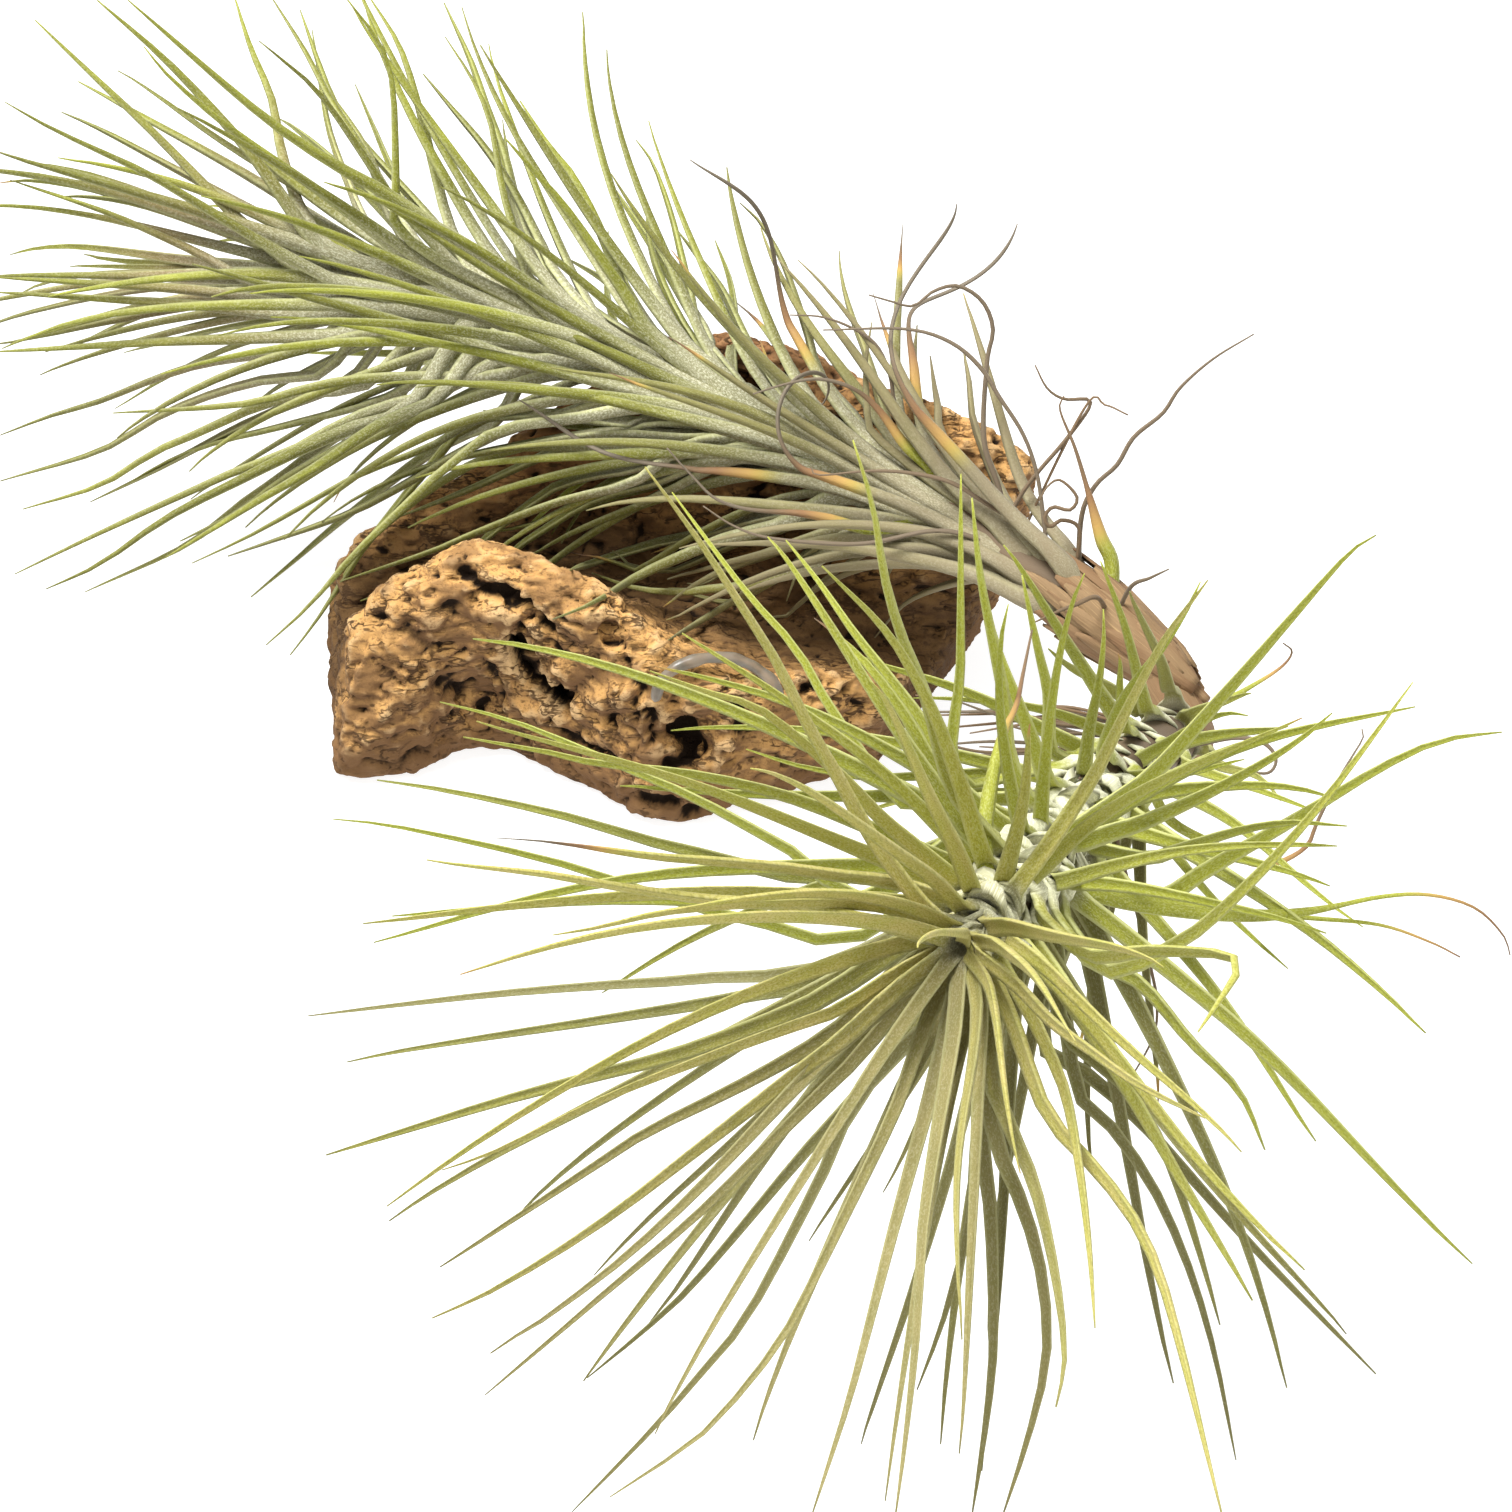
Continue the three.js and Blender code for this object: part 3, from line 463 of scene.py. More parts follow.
# %% Seen blades
SHORT_BLADES = {
    1.2: [
        [(850, 958), (700, 979), (600, 986), (500, 994), (400, 1005), (308, 1016)],
        [(850, 970), (750, 995), (600, 1020), (500, 1035), (400, 1051), (347, 1062)],
        [(850, 985), (700, 1046), (600, 1074), (500, 1101), (400, 1132), (326, 1155)],
        [(860, 1000), (780, 1030), (700, 1060), (600, 1100), (500, 1149), (442, 1170)],
        [(850, 1020), (750, 1080), (650, 1130), (600, 1162), (500, 1228), (440, 1267)],
        [(870, 1020), (800, 1070), (700, 1147), (600, 1223), (500, 1286), (432, 1318)],
        [(880, 1035), (800, 1113), (700, 1212), (600, 1297), (550, 1340), (485, 1395)],
        [(890, 1055), (800, 1157), (700, 1276), (650, 1325), (587, 1378)],
        [(865, 1090), (820, 1180), (750, 1312), (700, 1375), (650, 1432), (572, 1512)],
        [(900, 1100), (850, 1205), (790, 1325), (750, 1380), (700, 1436), (610, 1497)],
        [(930, 1100), (905, 1190), (890, 1245), (855, 1380), (835, 1445), (812, 1515)],
        [(945, 1090), (925, 1215), (920, 1280), (915, 1355), (905, 1445), (895, 1520)],
        [(985, 1090), (970, 1220), (955, 1280), (940, 1330), (917, 1390)],
        [(980, 1090), (990, 1205), (993, 1280), (993, 1355), (985, 1430), (972, 1515)],
        [(860, 936), (800, 930), (700, 908), (650, 892), (550, 860), (400, 827), (333, 819)],
        [(850, 917), (780, 905), (700, 899), (600, 884), (550, 875), (460, 865), (427, 860)],
        [(850, 903), (780, 902), (700, 900), (600, 900), (500, 907), (392, 916)],
        [(850, 903), (750, 904), (690, 909), (650, 915), (600, 927), (553, 935)],
        [(850, 875), (700, 853), (600, 826), (550, 812), (450, 791), (377, 780)],
        [(870, 897), (800, 855), (700, 800), (650, 778), (550, 735), (500, 717), (440, 702)],
        [(880, 830), (800, 800), (738, 783), (680, 772), (597, 763), (553, 753), (463, 737)],
        [(885, 777), (840, 773), (796, 765), (746, 749)],
        [(896, 830), (843, 777), (796, 736), (755, 706), (708, 692), (650, 671)],
        [(914, 895), (879, 853), (849, 795), (808, 724), (779, 665), (738, 600), (696, 536), (645, 467)],
        [(914, 806), (867, 759), (826, 700), (796, 648), (749, 595), (700, 530), (672, 492)],
        [(960, 790), (926, 726), (885, 671), (855, 633), (820, 583), (786, 540)],
        [(955, 818), (943, 759), (926, 695), (902, 636), (885, 577), (873, 506), (853, 440)],
        [(959, 850), (961, 783), (961, 665), (961, 548), (961, 474)],
        [(1012, 780), (1005, 700), (996, 653), (981, 577), (972, 498)],
        [(1000, 890), (1032, 853), (1090, 783), (1115, 735), (1138, 689), (1167, 636), (1208, 580)],
        [(1061, 942), (1120, 918), (1208, 868), (1296, 818), (1385, 765), (1443, 740), (1502, 732)],
        [(1100, 868), (1140, 858), (1190, 845), (1240, 830), (1290, 822), (1347, 826)],
        [(1040, 1025), (1090, 1075), (1140, 1120), (1240, 1232), (1290, 1285), (1376, 1374)],
        [(1040, 1098), (1080, 1150), (1125, 1205), (1155, 1262), (1180, 1345), (1222, 1515)],
        [(1075, 1080), (1115, 1130), (1155, 1190), (1190, 1270), (1215, 1355), (1236, 1460)],
        [(1060, 1020), (1120, 1080), (1160, 1140), (1185, 1205), (1205, 1270), (1220, 1325)],
        [(1040, 1030), (1065, 1090), (1080, 1170), (1090, 1255), (1095, 1328)],
        [(985, 1060), (1000, 1150), (1025, 1210), (1043, 1280), (1047, 1355), (1030, 1432), (1003, 1515)],
        [(990, 1060), (1010, 1125), (1035, 1185), (1055, 1270), (1065, 1355), (1056, 1407)],
        [(1040, 1010), (1090, 1050), (1140, 1085), (1205, 1118)],
        [(1080, 952), (1150, 950), (1200, 952), (1230, 956), (1238, 970), (1220, 1000), (1198, 1032)],
    ],
    0.75: [
        [(850, 877), (780, 867), (700, 860), (650, 856), (550, 842), (495, 838)],
    ],
    1.0: [
        [(960, 780), (935, 715), (900, 650), (875, 618), (850, 593), (822, 566)],
        [(1055, 760), (1049, 695), (1038, 647), (1022, 575)],
        [(1120, 830), (1179, 806), (1238, 777), (1296, 742), (1332, 713)],
        [(1090, 982), (1150, 957), (1200, 928), (1250, 882), (1290, 840), (1340, 780), (1413, 682)],
    ],
    0.85: [
        [(950, 790), (908, 720), (873, 671), (838, 636), (814, 618)],
    ],
    1.1: [
        [(1090, 824), (1149, 777), (1208, 712), (1255, 659), (1296, 612), (1349, 553), (1376, 535)],
        [(1080, 950), (1140, 982), (1190, 1040), (1240, 1092), (1265, 1150)],
    ],
}
LONG_BLADES = {
    1.2: [
        [(600, 338), (564, 306), (513, 273), (446, 234), (390, 195), (328, 160), (256, 110), (128, 0)],
        [(350, 295), (290, 262), (241, 221), (200, 180), (154, 133), (100, 82), (35, 20)],
        [(410, 312), (359, 292), (308, 267), (256, 238), (154, 177), (100, 151), (51, 128), (5, 102)],
        [(320, 300), (246, 279), (200, 254), (154, 233), (100, 210), (10, 180)],
        [(320, 312), (256, 301), (200, 291), (100, 284), (-10, 277)],
        [(360, 328), (308, 318), (200, 306), (100, 299), (-8, 292)],
        [(370, 340), (308, 337), (226, 340), (149, 343), (51, 349), (-8, 352)],
        [(350, 350), (277, 352), (205, 362), (154, 378), (100, 400), (51, 415), (0, 435)],
        [(340, 372), (270, 378), (205, 396), (154, 418), (100, 450), (0, 481)],
        [(590, 391), (513, 382), (441, 377), (359, 379), (308, 388), (256, 402), (200, 408), (113, 413)],
        [(380, 385), (310, 392), (256, 407), (200, 432), (154, 452), (100, 485), (23, 509)],
        [(450, 398), (390, 405), (340, 425), (290, 452), (240, 470), (190, 492), (100, 533), (15, 574)],
        [(430, 405), (360, 425), (300, 450), (240, 480), (190, 505), (154, 526), (100, 564), (46, 589)],
        [(580, 418), (520, 424), (462, 450), (410, 480), (359, 508), (308, 528), (228, 556)],
        [(530, 415), (470, 432), (420, 460), (370, 498), (330, 530), (300, 556), (251, 597)],
        [(640, 430), (580, 440), (520, 466), (462, 492), (395, 518)],
        [(740, 468), (690, 474), (657, 484), (614, 496), (570, 511), (527, 525), (479, 534)],
        [(720, 438), (683, 432), (636, 428), (583, 425), (527, 419), (483, 410)],
        [(570, 380), (505, 365), (440, 357), (400, 354), (303, 353)],
        [(530, 365), (462, 342), (410, 326), (359, 311), (308, 297), (256, 282), (192, 264)],
        [(360, 290), (308, 264), (256, 238), (205, 220), (126, 195)],
        [(340, 255), (303, 213), (282, 154), (272, 100), (251, 49), (234, -5)],
        [(340, 262), (287, 203), (256, 159), (200, 95), (154, 49), (97, 0)],
        [(430, 260), (400, 215), (379, 180), (352, 135), (328, 97), (303, 49), (270, -5)],
        [(480, 280), (451, 231), (436, 179), (421, 118), (400, 49), (368, -5)],
        [(410, 240), (397, 179), (394, 100), (383, 49), (344, -5)],
        [(564, 287), (538, 241), (513, 192), (485, 149), (451, 108), (423, 74)],
        [(540, 260), (518, 213), (503, 154), (487, 110), (470, 60), (444, 3)],
        [(631, 303), (614, 264), (592, 213), (570, 173), (549, 147), (520, 101)],
        [(657, 338), (627, 295), (601, 258), (566, 208), (536, 173), (505, 138)],
        [(705, 343), (692, 303), (681, 256), (670, 212), (653, 164), (636, 140)],
        [(740, 535), (690, 553), (636, 577), (592, 603), (553, 619)],
        [(880, 545), (823, 553), (788, 569), (744, 594), (668, 640)],
        [(770, 580), (718, 588), (679, 592), (636, 588), (592, 573)],
        [(350, 380), (290, 405), (240, 426), (190, 452), (140, 478), (90, 502)],
        [(430, 400), (350, 440), (280, 480), (240, 510), (180, 541)],
        [(500, 410), (430, 445), (360, 473), (310, 501), (250, 535), (192, 563)],
        [(420, 395), (340, 435), (280, 478), (240, 505), (185, 546), (85, 592)],
        [(520, 425), (450, 465), (400, 510), (350, 558), (310, 605), (266, 645)],
        [(500, 415), (440, 455), (385, 520), (360, 552), (320, 615), (290, 655)],
        [(560, 445), (500, 452), (440, 482), (380, 530), (327, 588)],
        [(640, 480), (560, 500), (480, 530), (430, 551), (340, 581)],
        [(390, 395), (280, 426), (215, 442), (165, 462), (120, 488)],
        [(440, 400), (380, 425), (320, 465), (260, 500), (210, 531), (165, 558)],
        [(400, 230), (370, 160), (350, 125), (330, 95), (300, 10)],
        [(375, 235), (345, 175), (332, 140), (325, 112), (312, 30)],
        [(540, 290), (515, 235), (500, 180), (492, 130), (475, 85), (445, 37)],
        [(420, 225), (390, 165), (375, 130), (355, 84)],
        [(670, 370), (635, 325), (610, 285), (565, 257)],
        [(745, 410), (732, 360), (735, 320), (730, 280), (715, 240)],
    ],
    1.0: [
        [(500, 305), (436, 246), (390, 195), (359, 149), (318, 92), (280, 58), (259, 41)],
        [(788, 408), (766, 377), (744, 337), (723, 292), (701, 261), (677, 230)],
        [(827, 386), (810, 343), (797, 303), (783, 264), (762, 225), (740, 203)],
        [(930, 450), (919, 410), (914, 364), (917, 325)],
        [(950, 450), (937, 405), (930, 356)],
    ],
    1.1: [
        [(820, 512), (788, 511), (744, 520), (701, 534), (657, 543), (614, 556), (570, 570)],
        [(723, 364), (701, 326), (679, 290), (653, 247), (627, 208), (607, 178)],
        [(880, 440), (868, 405), (866, 362), (872, 322)],
    ],
    0.9: [
        [(860, 482), (810, 473), (753, 467), (701, 469), (649, 464), (599, 453)],
        [(849, 460), (827, 438), (801, 408), (775, 378), (760, 340)],
    ],
    0.7: [
        [(831, 434), (810, 399), (788, 364), (770, 338), (753, 317), (727, 295)],
    ],
    0.75: [
        [(905, 430), (896, 395), (895, 350), (898, 300), (900, 262), (903, 222)],
    ],
}
ROOT_WEIGHT = 1.2
TURN_WEIGHT = 160
LEAST_GAP = 45
LEAVING = (0.02, 0.3)
WOOD_CLEARANCE = 1.5
GROUND_CLEARANCE = 1.0
ROOT_POINT = 4
HEADING_POINT = 8
LEAST_PIXELS = 3
EXTRA_POINTS = 6
BLADE_STEPS = 8
KEPT_DEPTHS = 4
DEPTH_PASSES = 3


def on_wood(across, down):
    """The place on the driftwood that is seen at a pixel, or None beside it."""
    start = camera.location / MM
    return wood_tree.ray_cast(start, (seen_at(across, down, 0) - start).normalized())[0]


def nearest_depth(across, down, depth):
    """A pixel's depth, less where the wood or the ground would be in the way."""
    hit = on_wood(across, down)
    if hit is not None:
        depth = min(depth, (hit - CAMERA_TARGET).dot(LOOKING) - WOOD_CLEARANCE)
    low = seen_at(across, down, depth).z
    if low < GROUND_CLEARANCE:
        slope = low - seen_at(across, down, depth - 1).z
        depth += (GROUND_CLEARANCE - low) / slope
    return depth


def led_along(points, seen):
    """A leaf's points, led away from its own way and along a blade's pixels."""
    pixels, depths = seen_pixels(points)
    seen = np.array(seen, float)
    distances = np.linalg.norm(seen - pixels[0], axis=1)
    first = int(distances.argmin())
    while first < len(seen) - LEAST_PIXELS and distances[first] < LEAST_GAP:
        first += 1
    share = np.linspace(0, 1, len(points) + EXTRA_POINTS)
    places = points_at(smooth_path(np.vstack([pixels[0], seen[first:]]), BLADE_STEPS), share)
    own = lengths_along(points)
    own_places = np.stack([np.interp(share, own / own[-1], column) for column in pixels.T], axis=1)
    places = mix(own_places, places, smooth(share, *LEAVING)[:, None])
    depths = np.interp(share, own / own[-1], depths)
    for k in range(KEPT_DEPTHS, len(depths)):
        depths[k] = nearest_depth(*places[k], depths[k])
    inner = KEPT_DEPTHS - 1
    for _ in range(DEPTH_PASSES):
        depths[inner:-1] = (depths[inner - 1:-2] + depths[inner:-1] * 2 + depths[inner + 1:]) / 4
    return rows(seen_at(*pixel, depth) for pixel, depth in zip(places, depths))


def lead_blades(leaves, groups):
    """Gives each seen blade to the free leaf that lies nearest to it."""
    blades = [(dry_from, seen) for dry_from, group in groups.items() for seen in group]
    free = [facts for facts in leaves if facts["leaf"] % 2 == 1 and not facts["curled"]]
    costs = []
    for f, facts in enumerate(free):
        pixels, _ = seen_pixels(facts["points"])
        heading = pixels[HEADING_POINT] - pixels[0]
        for b, (_, seen) in enumerate(blades):
            start, end = np.array(seen[0]), np.array(seen[-1])
            wanted = np.array(seen[1]) - pixels[0]
            turn = 1 - heading @ wanted / (np.linalg.norm(heading) * np.linalg.norm(wanted))
            gaps = np.linalg.norm(pixels[ROOT_POINT] - start) * ROOT_WEIGHT + np.linalg.norm(pixels[-1] - end)
            costs.append((gaps + TURN_WEIGHT * turn, b, f))
    led, used = set(), set()
    for _, b, f in sorted(costs):
        if b not in led and f not in used:
            led.add(b)
            used.add(f)
            free[f]["dry_from"], seen = blades[b]
            free[f]["points"] = led_along(free[f]["points"], seen)
    return len(led)


print("blades led:", lead_blades(long_leaves, LONG_BLADES), "and", lead_blades(short_leaves, SHORT_BLADES))

# %% [markdown]
# ## From lines to skins
# A leaf is a strip swept along its line. Its section is a shallow channel towards the stem and a
# rounded keel outside. All strips of a stem go into one mesh, and each point keeps a few facts, such as
# how far along its leaf it lies and how dry it is there, which the finish reads later.

# %% Swept skins
def circle(sides):
    """A round section of radius 1."""
    turns = np.linspace(0, 2 * math.pi, sides, endpoint=False)
    return np.array([(math.cos(turn), math.sin(turn)) for turn in turns])


LEAF_SECTION = np.array([
    (-0.5, -0.28), (-0.27, -0.14), (0, -0.07), (0.27, -0.14), (0.5, -0.28),
    (0.46, 0.08), (0.25, 0.46), (0, 0.62), (-0.25, 0.46), (-0.46, 0.08),
])
LEAF_EDGE = np.array([1, 0.35, 0, 0.35, 1, 0.6, 0.15, 0, 0.15, 0.6])
WIRE_SECTION = circle(6) / 2
GRAIN_APART = 7.0
FACTS = ("along", "dry", "tone", "youth", "faded", "edge", "blush", "silver", "scale")


class Skin:
    """Collects swept strips and the facts of their points, and makes one mesh of them."""

    def __init__(self):
        self.points, self.faces, self.grain = [], [], []
        self.facts = {name: [] for name in FACTS}
        self.count = 0

    def sweep(self, line, keel, widths, thicknesses, section, wrap=None, number=0, **facts):
        """Adds a strip along a line. wrap bends its edges round the stem, and facts are per ring."""
        rings, sides = len(line), len(section)
        way = np.gradient(line, axis=0)
        way /= np.linalg.norm(way, axis=1)[:, None]
        keels = []
        k = np.array(keel, float)
        for direction in way:
            k = k - direction * k.dot(direction)
            k /= np.linalg.norm(k)
            keels.append(k)
        keels = np.array(keels)
        across = np.cross(way, keels)
        a = section[None, :, 0] * widths[:, None]
        h = section[None, :, 1] * thicknesses[:, None]
        if wrap is not None:
            h = h - wrap[:, None] * a**2
        ring_points = line[:, None] + across[:, None] * a[..., None] + keels[:, None] * h[..., None]
        self.points.append(ring_points.reshape(-1, 3))
        run = lengths_along(line)
        grain = np.stack([np.repeat(run, sides), a.ravel(), np.full(a.size, number * GRAIN_APART)], axis=1)
        self.grain.append(grain)
        start = self.count
        for r in range(rings - 1):
            for s in range(sides):
                i, j = start + r * sides + s, start + r * sides + (s + 1) % sides
                self.faces.append((i, i + sides, j + sides, j))
        self.faces.append(tuple(start + s for s in range(sides)))
        self.faces.append(tuple(start + (rings - 1) * sides + s for s in reversed(range(sides))))
        for name in FACTS:
            value = facts.get(name, 0)
            per_ring = np.broadcast_to(np.asarray(value, float), (rings,))
            self.facts[name].append(np.repeat(per_ring, sides))
        if sides == len(LEAF_EDGE):
            self.facts["edge"][-1] = np.tile(LEAF_EDGE, rings)
        self.count += rings * sides

    def make(self, name, material):
        """The collected strips as one smooth object that rides on the root."""
        mesh = bpy.data.meshes.new(name)
        mesh.from_pydata((np.vstack(self.points) * MM).tolist(), [], self.faces)
        for fact, parts in self.facts.items():
            layer = mesh.attributes.new(fact, "FLOAT", "POINT")
            layer.data.foreach_set("value", np.concatenate(parts).astype(np.float32))
        layer = mesh.attributes.new("grain", "FLOAT_VECTOR", "POINT")
        layer.data.foreach_set("vector", np.vstack(self.grain).astype(np.float32).ravel())
        return show(mesh, name, material)


def show(mesh, name, material):
    """Links a mesh as a smooth object with a material, on the root body."""
    mesh.shade_smooth()
    mesh.materials.append(material)
    piece = bpy.data.objects.new(name, mesh)
    bpy.context.scene.collection.objects.link(piece)
    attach(piece, "root")
    triangles = sum(len(f.vertices) - 2 for f in mesh.polygons)
    print(name, "has", triangles, "triangles")
    return piece


# %% [markdown]
# ## Shader maths as sums
# A finish is easier to read as sums than as a web of nodes. This class wraps a socket, so that plus,
# minus and times on it add the Math nodes. Every other node comes from one method, which takes the
# node's type, its settings and the values or links of its sockets.

# %% Shader tools
class Value:
    """An output socket that can be used in sums."""

    def __init__(self, finish, socket):
        self.finish = finish
        self.socket = socket

    def math(self, operation, first, second):
        return self.finish.node("ShaderNodeMath", {"operation": operation}, {0: first, 1: second})

    def __add__(self, other):
        return self.math("ADD", self, other)

    __radd__ = __add__

    def __sub__(self, other):
        return self.math("SUBTRACT", self, other)

    def __rsub__(self, other):
        return self.math("SUBTRACT", other, self)

    def __mul__(self, other):
        return self.math("MULTIPLY", self, other)

    __rmul__ = __mul__

    def __abs__(self):
        return self.math("ABSOLUTE", self, 0)

    def step(self, low, high):
        """A soft step from 0 at low to 1 at high."""
        return self.finish.node(
            "ShaderNodeMapRange", {"interpolation_type": "SMOOTHSTEP"},
            {"Value": self, "From Min": low, "From Max": high},
        )


class Finish:
    """A material with one Principled shader, built up node by node."""

    BUMP_STRENGTH = 0.6

    def __init__(self, name, **constants):
        self.material = bpy.data.materials.new(name)
        self.material.use_nodes = True
        self.tree = self.material.node_tree
        self.shader = self.tree.nodes["Principled BSDF"]
        for socket, value in constants.items():
            self.shader.inputs[socket.replace("_", " ")].default_value = value

    def node(self, kind, settings, sockets, output=0):
        """Adds any node: its settings first, then its sockets' values or links."""
        made = self.tree.nodes.new(kind)
        for name, value in settings.items():
            if name == "stops":
                self.set_stops(made.color_ramp, value)
            else:
                setattr(made, name, value)
        for name, value in sockets.items():
            self.feed(made.inputs[name], value)
        return Value(self, made.outputs[output])

    def feed(self, socket, value):
        if isinstance(value, Value):
            self.tree.links.new(value.socket, socket)
        else:
            socket.default_value = (*value, 1) if socket.type == "RGBA" and len(value) == 3 else value

    def set_stops(self, ramp, stops):
        while len(ramp.elements) < len(stops):
            ramp.elements.new(1)
        for element, (position, colour) in zip(ramp.elements, stops):
            element.position = position
            element.color = (*colour, 1)

    def fact(self, name):
        return self.node("ShaderNodeAttribute", {"attribute_name": name}, {}, "Fac")

    def vector(self, name):
        return self.node("ShaderNodeAttribute", {"attribute_name": name}, {}, "Vector")

    def place(self):
        return self.node("ShaderNodeTexCoord", {}, {}, "Object")

    def part(self, vector, letter):
        """One of a vector's three numbers."""
        return self.node("ShaderNodeSeparateXYZ", {}, {0: vector}, letter)

    def noise(self, vector, scale, detail=2, roughness=0.5, stretch=None):
        """Noise, drawn out along an axis by a stretch below 1 and pressed together by one above."""
        if stretch:
            vector = self.node("ShaderNodeVectorMath", {"operation": "MULTIPLY"}, {0: vector, 1: stretch})
        sockets = {"Vector": vector, "Scale": scale, "Detail": detail, "Roughness": roughness}
        return self.node("ShaderNodeTexNoise", {}, sockets)

    def colour(self, a, b, factor):
        """Colour a where factor is 0, colour b where it is 1."""
        return self.node("ShaderNodeMix", {"data_type": "RGBA"}, {0: factor, 6: a, 7: b}, 2)

    def layers(self, colour, *coats):
        """A colour with coats over it, each a colour and how much of it shows."""
        for coat, factor in coats:
            colour = self.colour(colour, coat, factor)
        return colour

    def ramp(self, factor, stops):
        return self.node("ShaderNodeValToRGB", {"stops": stops}, {"Fac": factor})

    def bump(self, height, distance):
        sockets = {"Height": height, "Strength": self.BUMP_STRENGTH, "Distance": distance * MM}
        self.feed(self.shader.inputs["Normal"], self.node("ShaderNodeBump", {}, sockets))

    def paint(self, **sockets):
        for name, value in sockets.items():
            self.feed(self.shader.inputs[name.replace("_", " ")], value)
        return self.material


print("shader tools ready")

# %% [markdown]
# ## The living leaf's finish
# The leaves are green under a coat of tiny silver scales that drink the dew. The coat is thickest on
# the sheath and thins out towards the tip, so the stem looks white and the ends look bright green. Young
# leaves are tan, old ones are grey, and many ends dry out from yellow through orange and brown to grey.
# The finish starts from the darkest green and lays one coat over the other. Shade is painted in as well: the
# roots of young leaves, the gaps at the bare scales' edges and the leaves that point down are painted darker.

# %% Leaf finish
SILVER = (0.37, 0.35, 0.225)
SCALE_WHITE = (0.80, 0.80, 0.60)
SCALE_GAP_SHADE = (0.09, 0.08, 0.035)
SHADE_GREEN = (0.125, 0.125, 0.016)
MID_GREEN = (0.325, 0.34, 0.035)
TIP_GREEN = (0.335, 0.36, 0.04)
RIM_LIGHT = (0.62, 0.63, 0.31)
YOUNG_TAN = (0.47, 0.385, 0.125)
YOUNG_ROOT_SHADE = (0.075, 0.06, 0.02)
BLUSH_PINK = (0.31, 0.215, 0.13)
OLD_TAUPE = (0.22, 0.175, 0.105)
DRY_STOPS = [
    (0.0, (0.40, 0.38, 0.07)), (0.25, (0.43, 0.265, 0.08)), (0.5, (0.25, 0.135, 0.06)),
    (0.78, (0.155, 0.105, 0.06)), (1.0, (0.165, 0.135, 0.095)),
]


def leaf_finish():
    finish = Finish("silver_green_leaf", Sheen_Weight=0.06, Sheen_Roughness=0.5, Specular_IOR_Level=0.25)
    along, dry, tone, youth, faded, edge, blush, silver, scale = map(finish.fact, FACTS)
    grain = finish.vector("grain")
    streaks = finish.noise(grain, 1.0, 3, stretch=(0.35, 3.5, 1))
    mottle = finish.noise(grain, 1.0, stretch=(0.25, 0.8, 1))
    scales = finish.noise(grain, 1.6, 2, 0.7, stretch=(2.6, 5.5, 1))
    coat = (silver + (streaks - 0.5) * 0.35).step(0.1, 0.9)
    speckle = scales.step(0.5, 0.62) * (1 - along * 0.5)
    colour = finish.layers(
        SHADE_GREEN,
        (MID_GREEN, (streaks * 0.6 + tone * 0.55 + mottle * 0.3).step(0.3, 1.0)),
        (TIP_GREEN, (along + mottle * 0.4).step(0.45, 1.25) * (tone * 0.8 + 0.12)),
        (YOUNG_TAN, youth * (mottle * 1.3 - 0.05)),
        # Painted shade at the roots of young leaves, deep in the heart of the stem.
        (YOUNG_ROOT_SHADE, youth * along.step(0.14, 0.02) * 0.4),
        (BLUSH_PINK, blush * (1 - along.step(0.35, 0.85)) * 0.8),
        (SILVER, coat * 0.9),
        (SCALE_WHITE, speckle * (silver * 0.45 + 0.17)),
        (SHADE_GREEN, scales.step(0.47, 0.36) * 0.4),
        (RIM_LIGHT, edge.step(0.35, 0.95) * (0.75 - along * 0.6) * (1 - youth * 0.75)),
        (SCALE_WHITE, scale * (speckle * 0.4 + 0.58)),
        # Painted shade at the edges of the bare scales, in the gaps between them.
        (SCALE_GAP_SHADE, scale * edge.step(0.5, 1.0) * 0.8),
        (OLD_TAUPE, faded * (mottle * 0.5 + 0.55)),
        (finish.ramp(dry, DRY_STOPS), dry.step(0.02, 0.2)),
    )
    finish.bump(scales * 0.6 + streaks * 0.4, 0.14)
    return finish.paint(Base_Color=colour, Roughness=0.62 + coat * 0.2)


leaf_material = leaf_finish()
print("leaf finish has", len(leaf_material.node_tree.nodes), "nodes")

# %% [markdown]
# ## Leaves on their stems
# A leaf's width is greatest in the sheath and falls in a long taper. The sheath wraps the stem, which
# gives the scaly pattern between the blades. The dry share of each end is drawn, and it is larger on
# old leaves than on young ones. On the short stem's near flank some leaves have lost their blades and
# are bare scales, with a second scale beside each leaf. Where the photograph shows few blades, some of
# the leaves that the solids don't have are left out.

# %% Leaf shapes
LEAF_PLACES = np.array([
    0, 0.02, 0.04, 0.055, 0.07, 0.085, 0.105, 0.135, 0.17, 0.21, 0.26, 0.32, 0.38, 0.44, 0.5,
    0.56, 0.62, 0.68, 0.74, 0.8, 0.86, 0.92, 0.96, 1,
])
CURLED_PLACES = np.linspace(0, 1, 80)
SHEATH_PLACES = (0, 0.06, 0.09, 0.14)
WIDTH_PLACES = (0.24, 0.4, 0.6, 0.8, 0.93, 1)
WIDTHS = (1.45, 1.14, 0.84, 0.55, 0.32, 0.1)
THICK_STOPS = ((0, 0.1, 0.2, 0.5, 0.8, 1), (1.0, 1.05, 1.0, 0.8, 0.52, 0.12))
SHEATH_WRAP = 0.15
CURL_WIRE = 0.42
WAVER = 2.2
